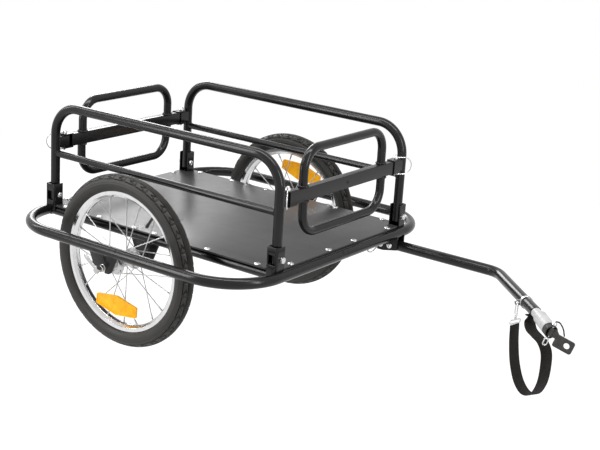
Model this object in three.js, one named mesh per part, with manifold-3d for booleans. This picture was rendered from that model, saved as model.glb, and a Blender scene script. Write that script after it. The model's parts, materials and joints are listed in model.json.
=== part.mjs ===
// A two-wheeled cargo trailer for a bicycle: a tube frame with a flat deck, folding side rails,
// two lift-off end gates, two spoked wheels on quick-release axles and a cranked towbar.
// Lengths are in millimetres. +X points forward to the bicycle, +Y to the left and +Z up.
// The origin is the middle of the deck's top face.

import * as THREE from 'three';
import { mergeVertices } from 'three/addons/utils/BufferGeometryUtils.js';
import Module from 'manifold-3d';

const wasm = await Module();
wasm.setup();

// Fits that every piece shares

const fit = 0.3;                 // gap left where two pieces touch
const overrun = 4;               // how far a cutter reaches past what it cuts
const degree = Math.PI / 180;
const weldTolerance = 1e-4;      // corners closer than this are one corner

// How finely round forms are divided

const roundSides = 12;
const smallSides = 10;
const wireSides = 5;
const spokeSides = 4;
const bendSteps = 5;
const ringSteps = 4;
const wheelSteps = 36;

// Deck

const deckThickness = 4;
const deckEndInset = 2;          // a crossbar's axis in to the deck's end
const deckWidth = 504;

// Perimeter hoop, made of two halves joined at the middle of both crossbars

const hoopTube = 25;
const hoopWall = 1.5;
const hoopHalfLength = 348;      // middle of the deck to a crossbar's axis
const hoopHalfWidth = 375;       // middle of the deck to an outer run's axis
const hoopBend = 130;
const spliceLength = 120;
const spliceWall = 2;

const deckLength = 2 * (hoopHalfLength - deckEndInset);
const hoopRadius = hoopTube / 2;
const hoopZ = -deckThickness - fit - hoopRadius;

// Straight tubes under the deck

const sideTube = 22;
const sideTubeInset = 12;        // deck's long edge in to a side tube's axis
const thinWall = 1.5;

const sideTubeY = deckWidth / 2 - sideTubeInset;
// A side tube ends on a crossbar's axis, or further in where it meets the hoop's bend.
const sideTubeIntoBend = Math.max(0, sideTubeY - (hoopHalfWidth - hoopBend));
const sideTubeEndX = hoopHalfLength - hoopBend + Math.sqrt(hoopBend ** 2 - sideTubeIntoBend ** 2);

// Wheels

const wheelX = -37;
const axleDrop = 42;             // hoop's axis down to the axle
const tyreRadius = 200;
const tyreWidth = 44;
const tyreWall = 4;
const tyreWrap = 42 * degree;     // how far the tyre's round section reaches in towards the rim
const rimRadius = 162;
const rimHeight = 15;            // tyre's edge of the rim down to its spoke face
const rimWidth = 25;
const rimWall = 2.4;
const rimDepth = 7;
const hubRadius = 15;
const hubFlangeRadius = 25;
const hubFlangeThickness = 3;
const hubFlangeY = 28;
const hubHalfLength = 33;
const axleRadius = 4.5;
const axleNutRadius = 9;
const axleNutLength = 9;
const spokeCount = 20;
const spokeDiameter = 2.4;
const spokeCircle = 21;
const spokeSweep = 66 * degree;  // how far round the hub a spoke starts from its rim hole
const reflectorInner = 92;
const reflectorOuter = 137;
const reflectorThickness = 6;
const reflectorHalfAngle = 27 * degree;
const reflectorStandOff = 14.1;
const leverLength = 46;
const leverWidth = 14;
const leverPaddle = 11;
const leverThickness = 4.5;
const leverRise = 5;             // how far the lever's arm bows outboard
const leverBarrelRadius = 7;
const leverAngle = 140 * degree; // direction of a closed lever, from +X towards +Z

const rimInnerRadius = rimRadius - rimHeight;
const axleZ = hoopZ - axleDrop;
const wheelY = (sideTubeY + hoopHalfWidth) / 2;

// Axle plates

const plateThickness = 4;
const plateTopWidth = 82;
const plateBottomWidth = 46;
const plateBelowAxle = 14;
const plateCorner = 13;
const dropoutWidth = 11;

// Corner brackets and side rails

const railTube = 22;
const railEndInset = 14;         // a crossbar's axis in to an upright's axis
const railSideInset = 2.4;       // a side tube's axis in to a rail's
const railTopZ = 256;            // heights from the hoop's axis
const railMidZ = 139.6;
const railBend = 70;
const midBarTube = 16;
const pivotZ = 38.5;
const railTail = 13;             // tube left below its pivot
const bracketSheet = 2.5;
const bracketSideGap = 1.2;
const bracketDepth = 27;
const bracketBackGap = 2.9;       // from a rail to the web behind it
const bracketTopZ = 67;
const bracketBottomZ = 3;
const windowHeight = 22;
const windowWidth = 22;
const pivotBolt = 8;
const pivotHeadRadius = 7;
const pivotHeadHeight = 4;
const pivotNutHeight = 6;

const railHalfLength = hoopHalfLength - railEndInset;
const railY = sideTubeY - railSideInset;
const bracketHalfWidth = railTube / 2 + bracketSideGap + bracketSheet;
const bracketWebY = railY + railTube / 2 + bracketBackGap + bracketSheet;

// End gates

const gateZ = 165.5;             // crossbar's axis above the hoop's axis
const gateBarHeight = 30;
const gateBarDepth = 20;
const gateEndGap = 8;             // between the crossbar's end and a rail's stub
const gateLoopTube = 20;
const gateLoopHalfWidth = 152;
const gateLoopInset = 3;         // an upper loop's plane in from its crossbar's
const frontLoopTopZ = 261;       // heights of the loops' level runs from the hoop's axis
const frontLoopBottomZ = 74;
const rearLoopTopZ = 255;
const rearLoopBottomZ = 76;
const gateLoopBend = 47;
const clipSheet = 3;
const clipLength = 27;
const clipOverlap = 4;
const weldSink = 0.5;            // how far a welded piece sinks into the one it is welded to
const stubPlay = 1;              // room round a rail's stub in its clip
const stubPastPin = 9;
const pinInset = 27.6;           // a rail's axis in to a ring pin
const pinDiameter = 8;
const pinHole = 9;
const pinHeadRadius = 6.5;
const pinHeadHeight = 9;
const pinPointLength = 5;
const ringWire = 2.5;
const ringReach = 42;
const ringFlat = 1;              // straight wire left between the ring's two bends
const ringTurn = 35 * degree;    // ring's direction, from sideways towards the front

const clipHalfHeight = gateBarHeight / 2 - weldSink;
const clipHalfDepth = gateBarDepth / 2 - weldSink;
const pinY = railY - pinInset;
const stubInnerY = pinY - stubPastPin;
const gateBarHalfLength = stubInnerY - gateEndGap;

// Towbar

const towbarTube = 25;
const towbarWall = 2;
const towbarY = 219.5;
const towbarTailInset = 38.5;    // front crossbar's axis back to the towbar's tail
const towbarMitre = 31 * degree; // the tail's end leans forward at its top, to clear the side tube as it folds
const towbarReach = 277;         // front crossbar's axis out to the towbar's corner
const towbarCrank = 43.5 * degree;
const towbarCrankLength = 256;
const towbarBend = 60;
const towBracketSheet = 2.5;
const towBracketBehind = 41;     // front crossbar's axis back to the bracket's rear end
const towBracketAhead = 14;      // front crossbar's axis out to the bracket's front end
const towBracketWebLength = 17;
const towBracketBelow = 8;       // flange left below the towbar's axis at its front
const towBracketHorn = 24;       // flange above the towbar's axis, beside the crossbar
const towBracketGap = 0.6;
const towbarDrop = 28.3;         // hoop's axis down to the towbar's axis
const towBoltInset = 7;          // front crossbar's axis back to the bolt, and to the pin
const towPinInset = 32;
const towBolt = 8;
const lockCollarRadius = 8;
const lockCollarHeight = 3;
const lockKnobRadius = 5;
const lockKnobLength = 24;
const lockRingLength = 29;
const lockRingWidth = 13;
const lockRingDroop = 23 * degree;
const ringPlay = 2.5;            // how far a wire ring starts below the end that carries it

const towbarZ = hoopZ - towbarDrop;
const towbarTailX = hoopHalfLength - towbarTailInset;
const towbarCornerX = hoopHalfLength + towbarReach;
const towBracketRearX = hoopHalfLength - towBracketBehind;
const towBracketFrontX = hoopHalfLength + towBracketAhead;
const towBoltX = hoopHalfLength - towBoltInset;
const towPinX = hoopHalfLength - towPinInset;

// Hitch, on the crank's axis and placed from the end of the towbar's tube

const neckSocket = 40;           // spigot inside the towbar
const neckRadius = 11;
const neckLength = 17;
const neckSink = 2;              // neck left inside the drooping sleeve
const hitchDroop = 5 * degree;   // the sleeve's direction below the crank's
const sleeveRadius = 14.8;
const sleeveConeLength = 9;
const sleeveLength = 62;         // cone and body together
const bushRadius = 14.5;
const bushLength = 17;
const hitchPinDiameter = 6;
const hitchPinFromFace = 5;      // pin's axis back from the bush's front face
const hitchPinHeadRadius = 6;
const hitchPinHeadHeight = 6;
const hitchPinPast = 4;          // pin left past the bush
const hitchLinkLength = 16;
const hitchLinkWidth = 9;
const hitchRoll = 71 * degree;   // tongue's width, up from level
const tongueWidth = 27;
const tongueRootWidth = 18;
const tongueOffset = -11.5;      // blade's middle from the bush's, along the pin
const tongueThickness = 5;
const tongueLength = 56;         // from the hitch pin
const tongueShoulder = 14;       // from the hitch pin to the wide blade
const tongueEye = 14;
const tongueHole = 13;
const tongueHoleFromTip = 14.5;
const tongueCorner = 4;
const tongueTilt = 55 * degree;
const tetherDiameter = 3.4;
const tetherBow = 2;
const tetherReach = 29;          // from the hitch pin along the tongue

const hitchPinZ = bushLength - hitchPinFromFace;

// Strap clamp and snap hook

const clampFromEnd = 60;
const clampLength = 7;
const clampThickness = 2;
const clampEye = 6;
const clampEyeHole = 3.6;
const clampEarThickness = 3;
const hookWire = 3.2;
const hookWidth = 13;
const hookLength = 30;
const hookBarrel = 8;
const slideLength = 34;
const slideHeight = 11;
const slideWire = 3;

// Safety strap: its free line from below the hook round and up again (x, y, drop from the hoop's axis)

const strapWidth = 27;
const strapThickness = 2.2;
const strapEndNear = 12;         // from the towbar's end to where the strap first touches it
const strapEndFar = 26;          // from the towbar's end to the strap's own end
const strapPoints = [
  [755, 71, 120], [766, 65, 165], [785, 55, 198], [811, 39, 210], [838, 23, 199],
  [858, 10, 164], [864, 5, 120], [861, 6, 93], [848, 13, 77], [828, 24, 71], [808, 36, 65], [799, 46, 55],
];
const strapTopAcross = new THREE.Vector3(0.31, 0.95, 0);
const strapLowAcross = new THREE.Vector3(0.555, 0.832, 0);

// Materials

function material(color, roughness, metalness) {
  return new THREE.MeshStandardMaterial({ color, roughness, metalness });
}

const blackPaint = material(0x1c1b1b, 0.38, 0.3);
const deckBoard = material(0x4d4d4e, 0.6, 0);
const zinc = material(0xc9ccd0, 0.32, 0.9);
const rubber = material(0x252423, 0.8, 0);
const alloy = material(0xd4d6d8, 0.28, 0.9);
const amber = material(0xf39a12, 0.25, 0);
const webbing = material(0x262322, 0.9, 0);
const blackSteel = material(0x3a3836, 0.45, 0.5);

// Solids: a three.js geometry becomes a manifold solid and back

function solid(geometry) {
  const bare = geometry.clone();
  bare.deleteAttribute('normal');
  bare.deleteAttribute('uv');
  const merged = mergeVertices(bare, weldTolerance);
  return new wasm.Manifold(new wasm.Mesh({
    numProp: 3,
    vertProperties: new Float32Array(merged.attributes.position.array),
    triVerts: new Uint32Array(merged.index.array),
  }));
}

function geometryOf(body) {
  const mesh = body.getMesh();
  const geometry = new THREE.BufferGeometry();
  geometry.setAttribute('position', new THREE.BufferAttribute(new Float32Array(mesh.vertProperties), 3));
  geometry.setIndex(new THREE.BufferAttribute(new Uint32Array(mesh.triVerts), 1));
  const faceted = geometry.toNonIndexed();
  faceted.computeVertexNormals();
  return faceted;
}

const join = (first, ...others) => others.reduce((body, other) => body.add(other), first);
const cut = (first, ...tools) => tools.reduce((body, tool) => body.subtract(tool), first);

// Outlines

function roundPoints(radius, sides) {
  const points = [];
  for (let i = 0; i < sides; i += 1) {
    const angle = (2 * Math.PI * (i + 0.5)) / sides;
    points.push(new THREE.Vector2(radius * Math.cos(angle), radius * Math.sin(angle)));
  }
  return points;
}

function discShape(radius, sides, boreRadius = 0) {
  const shape = new THREE.Shape(roundPoints(radius, sides));
  if (boreRadius > 0) shape.holes.push(new THREE.Path(roundPoints(boreRadius, sides)));
  return shape;
}

function boxShape(width, height, corner = 0) {
  const shape = new THREE.Shape();
  const x = width / 2;
  const y = height / 2;
  if (corner === 0) {
    shape.moveTo(-x, -y).lineTo(x, -y).lineTo(x, y).lineTo(-x, y);
    return shape;
  }
  shape.absarc(x - corner, y - corner, corner, 0, Math.PI / 2);
  shape.absarc(corner - x, y - corner, corner, Math.PI / 2, Math.PI);
  shape.absarc(corner - x, corner - y, corner, Math.PI, 1.5 * Math.PI);
  shape.absarc(x - corner, corner - y, corner, 1.5 * Math.PI, 2 * Math.PI);
  return shape;
}

// Axes that turn a flat outline into place: an outline's x, its y and the way it is extruded

const along = {
  x: new THREE.Matrix4().makeBasis(
    new THREE.Vector3(0, 1, 0), new THREE.Vector3(0, 0, 1), new THREE.Vector3(1, 0, 0)),
  y: new THREE.Matrix4().makeBasis(
    new THREE.Vector3(0, 0, 1), new THREE.Vector3(1, 0, 0), new THREE.Vector3(0, 1, 0)),
  z: new THREE.Matrix4(),
};

// An outline extruded along one axis, centred on a place

function prism(shape, length, axis, place, curveSegments = 2) {
  const geometry = new THREE.ExtrudeGeometry(shape, { depth: length, bevelEnabled: false, curveSegments });
  geometry.translate(0, 0, -length / 2);
  geometry.applyMatrix4(along[axis]);
  geometry.translate(place.x, place.y, place.z);
  return geometry;
}

const at = (x, y, z) => new THREE.Vector3(x, y, z);
const rod = (radius, length, axis, place, sides = smallSides) => (
  prism(discShape(radius, sides), length, axis, place));

// A profile of (radius, distance) points turned about an axis; its outside is on the right going up

function turned(profile, steps, axis, place) {
  const points = profile.map(([radius, distance]) => new THREE.Vector2(radius, distance));
  if (THREE.ShapeUtils.isClockWise(points)) points.reverse();
  const geometry = new THREE.LatheGeometry(points, steps);
  geometry.rotateX(Math.PI / 2);
  geometry.applyMatrix4(along[axis]);
  geometry.translate(place.x, place.y, place.z);
  return geometry;
}

// A tube's centre line: straight runs joined by round bends, with stations only where it turns

class BentRoute extends THREE.Curve {
  constructor(corners, bendRadius, steps = bendSteps) {
    super();
    this.stations = [];
    const last = corners.length - 1;
    const heading = (i) => corners[i + 1].clone().sub(corners[i]).normalize();
    this.stations.push({ point: corners[0], tangent: heading(0) });
    for (let i = 1; i < last; i += 1) this.addBend(corners[i], heading(i - 1), heading(i), bendRadius, steps);
    this.stations.push({ point: corners[last], tangent: heading(last - 1) });
  }

  addBend(corner, before, after, radius, steps) {
    const turn = before.angleTo(after);
    const reach = radius * Math.tan(turn / 2);
    const start = corner.clone().addScaledVector(before, -reach);
    const inward = after.clone().addScaledVector(before, -before.dot(after)).normalize();
    for (let i = 0; i <= steps; i += 1) {
      const angle = (turn * i) / steps;
      const point = start.clone()
        .addScaledVector(before, radius * Math.sin(angle))
        .addScaledVector(inward, radius * (1 - Math.cos(angle)));
      const tangent = before.clone().multiplyScalar(Math.cos(angle)).addScaledVector(inward, Math.sin(angle));
      this.stations.push({ point, tangent });
    }
  }

  get steps() {
    return this.stations.length - 1;
  }

  station(u) {
    return this.stations[Math.round(u * this.steps)];
  }

  getPointAt(u, target = new THREE.Vector3()) {
    return target.copy(this.station(u).point);
  }

  getTangentAt(u, target = new THREE.Vector3()) {
    return target.copy(this.station(u).tangent);
  }
}

function swept(shape, route) {
  return new THREE.ExtrudeGeometry(shape, { steps: route.steps, extrudePath: route, curveSegments: 4 });
}

const pipe = (diameter, wall, route, sides = roundSides) => (
  swept(discShape(diameter / 2, sides, wall > 0 ? diameter / 2 - wall : 0), route));

// Scene: every piece is one named mesh

const trailer = new THREE.Group();
trailer.name = 'cargo_bike_trailer';

function addPiece(name, body, look) {
  const geometry = body.isBufferGeometry ? body : geometryOf(body);
  const mesh = new THREE.Mesh(geometry, look);
  mesh.name = name;
  trailer.add(mesh);
  return mesh;
}

// Hoop: each half runs from the rear joint round its wheel to the front joint

function hoopRoute(side) {
  const y = side * hoopHalfWidth;
  return new BentRoute([
    at(-hoopHalfLength, side * fit / 2, hoopZ),
    at(-hoopHalfLength, y, hoopZ),
    at(hoopHalfLength, y, hoopZ),
    at(hoopHalfLength, side * fit / 2, hoopZ),
  ], hoopBend, bendSteps + 2);
}

function hoopClearance(side) {
  return solid(pipe(hoopTube + 2 * fit, 0, hoopRoute(side)));
}

function buildHoop() {
  for (const [name, side] of [['left', 1], ['right', -1]]) {
    addPiece(`hoop_half_${name}`, pipe(hoopTube, hoopWall, hoopRoute(side)), blackPaint);
  }
  const spliceRadius = hoopRadius - hoopWall - fit;
  for (const [name, end] of [['front', 1], ['rear', -1]]) {
    const place = at(end * hoopHalfLength, 0, hoopZ);
    addPiece(`hoop_splice_${name}`,
      prism(discShape(spliceRadius, roundSides, spliceRadius - spliceWall), spliceLength, 'y', place), zinc);
  }
}

function sideClearance(side) {
  return solid(rod(sideTube / 2 + fit, 2 * hoopHalfLength, 'x', at(0, side * sideTubeY, hoopZ), roundSides));
}

// Side tubes run from crossbar to crossbar and are coped to fit against them

function buildUnderDeck() {
  for (const [name, side] of [['left', 1], ['right', -1]]) {
    const place = at(0, side * sideTubeY, hoopZ);
    const shape = discShape(sideTube / 2, roundSides, sideTube / 2 - thinWall);
    addPiece(`side_tube_${name}`, cut(solid(prism(shape, 2 * sideTubeEndX, 'x', place)), hoopClearance(side)), blackPaint);
  }
  const cross = prism(
    discShape(sideTube / 2, roundSides, sideTube / 2 - thinWall), 2 * sideTubeY, 'y', at(wheelX, 0, hoopZ));
  addPiece('deck_cross_tube', cut(solid(cross), sideClearance(1), sideClearance(-1)), blackPaint);
}

// Deck: a thin board, notched where the corner brackets stand

function buildDeck() {
  const x = deckLength / 2;
  const y = deckWidth / 2;
  const notchX = railHalfLength - bracketHalfWidth - 3 * fit;
  const notchY = bracketWebY - bracketDepth - 3 * fit;
  const shape = new THREE.Shape();
  shape.moveTo(notchX, -y).lineTo(notchX, -notchY).lineTo(x, -notchY);
  shape.lineTo(x, notchY).lineTo(notchX, notchY).lineTo(notchX, y);
  shape.lineTo(-notchX, y).lineTo(-notchX, notchY).lineTo(-x, notchY);
  shape.lineTo(-x, -notchY).lineTo(-notchX, -notchY).lineTo(-notchX, -y);
  addPiece('deck_panel', prism(shape, deckThickness, 'z', at(0, 0, -deckThickness / 2)), deckBoard);
}

// Corner bracket: a folded U of sheet, open inwards, whose web has a window for the rail's tail

function cornerBracket(end, side) {
  const outer = bracketHalfWidth;
  const inner = outer - bracketSheet;
  const shape = new THREE.Shape();
  shape.moveTo(-outer, -bracketDepth).lineTo(-outer, -bracketSheet);
  shape.lineTo(-inner, 0).lineTo(inner, 0).lineTo(outer, -bracketSheet);
  shape.lineTo(outer, -bracketDepth).lineTo(inner, -bracketDepth).lineTo(inner, -bracketSheet);
  shape.lineTo(-inner, -bracketSheet).lineTo(-inner, -bracketDepth);
  const height = bracketTopZ - bracketBottomZ;
  const folded = prism(shape, height, 'z', at(0, 0, 0));
  if (side < 0) folded.rotateZ(Math.PI);
  folded.translate(end * railHalfLength, side * bracketWebY, hoopZ + (bracketTopZ + bracketBottomZ) / 2);
  const pivot = at(end * railHalfLength, side * railY, hoopZ + pivotZ);
  const window = prism(boxShape(windowHeight, windowWidth), 2 * overrun, 'y',
    at(pivot.x, side * (bracketWebY - bracketSheet / 2), pivot.z));
  const boltHole = rod(pivotBolt / 2 + fit, 2 * outer + overrun, 'x', pivot);
  return cut(solid(folded), solid(window), solid(boltHole), sideClearance(side), hoopClearance(side));
}

// Bolt: a domed head, a shank and a nut in one turned solid, the same length either side of its middle

function boltProfile(shank, halfSpan) {
  const headEnd = halfSpan + pivotHeadHeight;
  const nutEnd = halfSpan + pivotNutHeight;
  return [
    [0, -headEnd], [pivotHeadRadius / 2, -headEnd], [pivotHeadRadius, -halfSpan - pivotHeadHeight / 3],
    [pivotHeadRadius, -halfSpan], [shank, -halfSpan], [shank, halfSpan], [pivotHeadRadius, halfSpan],
    [pivotHeadRadius, nutEnd], [0, nutEnd],
  ];
}

const corners = [
  ['front_left', 1, 1], ['front_right', 1, -1], ['rear_left', -1, 1], ['rear_right', -1, -1]];

function buildCorners() {
  for (const [name, end, side] of corners) {
    addPiece(`corner_bracket_${name}`, cornerBracket(end, side), blackPaint);
    const profile = boltProfile(pivotBolt / 2, bracketHalfWidth + fit);
    const bolt = turned(profile, smallSides, 'x', at(0, 0, 0));
    if (end < 0) bolt.rotateZ(Math.PI);
    bolt.translate(end * railHalfLength, side * railY, hoopZ + pivotZ);
    addPiece(`pivot_bolt_${name}`, bolt, zinc);
  }
}

// Side rail: an inverted U of tube, with a short square stub on each upright for a gate's clip

function railRoute(side, tail) {
  const y = side * railY;
  const foot = hoopZ + pivotZ - tail;
  return new BentRoute([
    at(-railHalfLength, y, foot),
    at(-railHalfLength, y, hoopZ + railTopZ),
    at(railHalfLength, y, hoopZ + railTopZ),
    at(railHalfLength, y, foot),
  ], railBend);
}

function gateStub(end, side) {
  const length = railY - stubInnerY;
  const place = at(end * railHalfLength, side * (railY + stubInnerY) / 2, hoopZ + gateZ);
  const height = 2 * (clipHalfHeight - stubPlay);
  const depth = 2 * (clipHalfDepth - stubPlay);
  const shape = boxShape(height, depth);
  shape.holes.push(boxShape(height - 2 * thinWall, depth - 2 * thinWall));
  return solid(prism(shape, length, 'y', place));
}

function buildRails() {
  for (const [name, side] of [['left', 1], ['right', -1]]) {
    const route = railRoute(side, railTail);
    const stubs = [1, -1].map((end) => gateStub(end, side));
    const holes = [1, -1].flatMap((end) => [
      solid(rod(pivotBolt / 2 + fit, railTube + overrun, 'x',
        at(end * railHalfLength, side * railY, hoopZ + pivotZ))),
      solid(rod(pinHole / 2, gateBarHeight, 'z', at(end * railHalfLength, side * pinY, hoopZ + gateZ))),
    ]);
    const bore = solid(pipe(railTube - 2 * thinWall, 0, railRoute(side, railTail + overrun), smallSides));
    const rail = join(solid(pipe(railTube, 0, route, smallSides)), ...stubs);
    addPiece(`side_rail_${name}`, cut(rail, bore, ...holes), blackPaint);
    buildMidBar(name, side, route);
  }
}

function buildMidBar(name, side, route) {
  const shape = discShape(midBarTube / 2, smallSides, midBarTube / 2 - thinWall);
  const bar = prism(shape, 2 * railHalfLength, 'x', at(0, side * railY, hoopZ + railMidZ));
  addPiece(`rail_mid_bar_${name}`, cut(solid(bar), solid(pipe(railTube + 2 * fit, 0, route, smallSides))), blackPaint);
}

// End gate: a crossbar on edge with a clip at each end and a rounded loop above and below it

function gateClip(end, side) {
  const outer = clipHalfHeight + clipSheet;
  const back = -gateBarDepth / 2;
  const front = clipHalfDepth + clipSheet;
  const shape = new THREE.Shape();
  shape.moveTo(-outer, back).lineTo(-outer, front).lineTo(outer, front).lineTo(outer, back);
  shape.lineTo(clipHalfHeight, back).lineTo(clipHalfHeight, front - clipSheet);
  shape.lineTo(-clipHalfHeight, front - clipSheet).lineTo(-clipHalfHeight, back);
  const clip = prism(shape, clipLength, 'y', at(0, 0, 0));
  if (end < 0) clip.rotateZ(Math.PI);
  const middleY = gateBarHalfLength - clipOverlap + clipLength / 2;
  clip.translate(end * railHalfLength, side * middleY, hoopZ + gateZ);
  return solid(clip);
}

function gateCrossbar(end) {
  const shape = boxShape(gateBarHeight, gateBarDepth);
  shape.holes.push(boxShape(gateBarHeight - 2 * thinWall, gateBarDepth - 2 * thinWall));
  const bar = prism(shape, 2 * gateBarHalfLength, 'y', at(end * railHalfLength, 0, hoopZ + gateZ));
  const ends = [1, -1].map((side) => gateClip(end, side));
  const holes = [1, -1].map((side) => (
    solid(rod(pinHole / 2, 2 * gateBarHeight, 'z', at(end * railHalfLength, side * pinY, hoopZ + gateZ)))));
  return cut(join(solid(bar), ...ends), ...holes);
}

function gateLoop(x, up, loopZ) {
  const z = hoopZ + gateZ + up * (gateBarHeight / 2 + fit);
  const farZ = hoopZ + loopZ;
  return pipe(gateLoopTube, thinWall, new BentRoute([
    at(x, -gateLoopHalfWidth, z),
    at(x, -gateLoopHalfWidth, farZ),
    at(x, gateLoopHalfWidth, farZ),
    at(x, gateLoopHalfWidth, z),
  ], gateLoopBend, bendSteps - 1), smallSides);
}

// Ring pin: a headed pin whose wire ring bows out to one side and closes on its point

function ringPin({ length, diameter, headRadius, headHeight, ring, reach }) {
  const shank = diameter / 2;
  const body = solid(turned([
    [0, -length], [shank / 2, -length], [shank, pinPointLength - length], [shank, 0],
    [headRadius, 0], [headRadius, headHeight / 2], [headRadius / 2, headHeight], [0, headHeight],
  ], smallSides, 'z', at(0, 0, 0)));
  const topZ = headHeight / 4;
  const lowZ = (pinPointLength - length) / 2 - length / 2;
  const out = (distance, z) => ring.clone().multiplyScalar(distance).setZ(z);
  const bend = (topZ - lowZ - ringFlat) / 2;
  const wire = solid(pipe(ringWire, 0, new BentRoute(
    [out(0, topZ), out(reach, topZ), out(reach, lowZ), out(0, lowZ)], bend, ringSteps), wireSides));
  return geometryOf(join(body, wire));
}

function gateRingPin(length, ring) {
  return ringPin({
    length, ring, diameter: pinDiameter, headRadius: pinHeadRadius, headHeight: pinHeadHeight, reach: ringReach,
  });
}

function buildGates() {
  const seat = clipHalfHeight + clipSheet + fit;
  const pinLength = 2 * seat + pinPointLength;
  const gates = [['front', 1, frontLoopTopZ, frontLoopBottomZ], ['rear', -1, rearLoopTopZ, rearLoopBottomZ]];
  for (const [name, end, topZ, bottomZ] of gates) {
    addPiece(`${name}_gate_crossbar`, gateCrossbar(end), blackPaint);
    addPiece(`${name}_gate_upper_loop`, gateLoop(end * (railHalfLength - gateLoopInset), 1, topZ), blackPaint);
    addPiece(`${name}_gate_lower_loop`, gateLoop(end * railHalfLength, -1, bottomZ), blackPaint);
  }
  for (const [name, end, side] of corners) {
    const direction = at(end * Math.sin(ringTurn), side * Math.cos(ringTurn), 0);
    const pin = gateRingPin(pinLength, direction);
    pin.translate(end * railHalfLength, side * pinY, hoopZ + gateZ + seat);
    addPiece(`ring_pin_${name}`, pin, zinc);
  }
}

// Axle plate: a tapered plate with round lower corners and an open slot for the axle

function axlePlate(y, topZ) {
  const bottom = axleZ - plateBelowAxle;
  const top = plateTopWidth / 2;
  const low = plateBottomWidth / 2;
  const slot = dropoutWidth / 2;
  const shape = new THREE.Shape();
  shape.moveTo(-top, topZ);
  shape.lineTo(-low, bottom + plateCorner);
  shape.quadraticCurveTo(-low, bottom, -low + plateCorner, bottom);
  shape.lineTo(-slot, bottom).lineTo(-slot, axleZ);
  shape.absarc(0, axleZ, slot, Math.PI, 0, true);
  shape.lineTo(slot, bottom).lineTo(low - plateCorner, bottom);
  shape.quadraticCurveTo(low, bottom, low, bottom + plateCorner);
  shape.lineTo(top, topZ);
  const plate = new THREE.ExtrudeGeometry(
    shape, { depth: plateThickness, bevelEnabled: false, curveSegments: 6 });
  plate.rotateX(Math.PI / 2);
  plate.translate(wheelX, y + plateThickness / 2, 0);
  return plate;
}

// Wheel pieces, turned about the axle's line

function tyreProfile() {
  const middle = tyreRadius - tyreWidth / 2;
  const beadOut = rimWidth / 2 - rimWall - fit;
  const beadIn = beadOut - tyreWall;
  const foot = rimRadius - rimDepth + 2 * fit;
  const arc = (radius, from, to, count) => Array.from({ length: count + 1 }, (_, i) => {
    const angle = from + ((to - from) * i) / count;
    return [middle + radius * Math.sin(angle), radius * Math.cos(angle)];
  });
  return [
    [foot, beadIn], [foot, beadOut], [rimRadius + fit, beadOut],
    ...arc(tyreWidth / 2, -tyreWrap, Math.PI + tyreWrap, 7),
    [rimRadius + fit, -beadOut], [foot, -beadOut], [foot, -beadIn],
    ...arc(tyreWidth / 2 - tyreWall, Math.PI + tyreWrap, -tyreWrap, 3),
    [foot, beadIn],
  ];
}

function rimProfile() {
  const half = rimWidth / 2;
  const well = rimRadius - rimDepth;
  return [
    [rimInnerRadius, half / 2], [well, half], [rimRadius, half], [rimRadius, half - rimWall],
    [well, half - rimWall], [well - rimWall, 0], [well, rimWall - half],
    [rimRadius, rimWall - half], [rimRadius, -half], [well, -half], [rimInnerRadius, -half / 2],
    [rimInnerRadius, half / 2],
  ];
}

function hubProfile() {
  const bore = axleRadius + fit;
  const flangeIn = hubFlangeY - hubFlangeThickness / 2;
  const flangeOut = hubFlangeY + hubFlangeThickness / 2;
  const half = [
    [bore, hubHalfLength], [hubRadius * 0.8, hubHalfLength], [hubRadius, flangeOut],
    [hubFlangeRadius, flangeOut], [hubFlangeRadius, flangeIn], [hubRadius, flangeIn - hubFlangeThickness],
  ];
  const mirrored = half.map(([radius, distance]) => [radius, -distance]).reverse();
  return [...half, ...mirrored, half[0]];
}

// One spoke lies between a hole in a hub flange and a hole in the rim

function spoke(index) {
  const flange = index % 2 === 0 ? 1 : -1;
  const lean = Math.floor(index / 2) % 2 === 0 ? 1 : -1;
  const rimAngle = (2 * Math.PI * index) / spokeCount;
  const hubAngle = rimAngle + lean * spokeSweep;
  const rimReach = rimInnerRadius * Math.cos(Math.PI / wheelSteps) - fit;
  const from = at(spokeCircle * Math.cos(hubAngle), flange * hubFlangeY, spokeCircle * Math.sin(hubAngle));
  const to = at(rimReach * Math.cos(rimAngle), flange * hubFlangeThickness, rimReach * Math.sin(rimAngle));
  return solid(pipe(spokeDiameter, 0, new BentRoute([from, to], 0), spokeSides));
}

function hubAndSpokes(place) {
  const spokes = Array.from({ length: spokeCount }, (_, index) => spoke(index));
  const hub = solid(turned(hubProfile(), roundSides, 'y', at(0, 0, 0)));
  return geometryOf(join(hub, ...spokes)).translate(place.x, place.y, place.z);
}

// The axle passes through both plates, with a nut inboard, a spacer either side of the hub and a cap

function axleProfile() {
  const inner = -(wheelY - sideTubeY);
  const outer = hoopHalfWidth - wheelY;
  const half = plateThickness / 2 + fit;
  return [
    [0, inner - half - axleNutLength], [axleNutRadius, inner - half - axleNutLength],
    [axleNutRadius, inner - half], [axleRadius, inner - half], [axleRadius, inner + half],
    [axleNutRadius, inner + half], [axleNutRadius, -hubHalfLength - fit], [axleRadius, -hubHalfLength - fit],
    [axleRadius, hubHalfLength + fit], [axleNutRadius, hubHalfLength + fit], [axleNutRadius, outer - half],
    [axleRadius, outer - half], [axleRadius, outer + half], [axleNutRadius, outer + half],
    [axleNutRadius, outer + half + axleNutLength], [0, outer + half + axleNutLength],
  ];
}

// Quick-release lever: a barrel across the axle's end and a curved arm that swings outwards

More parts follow.
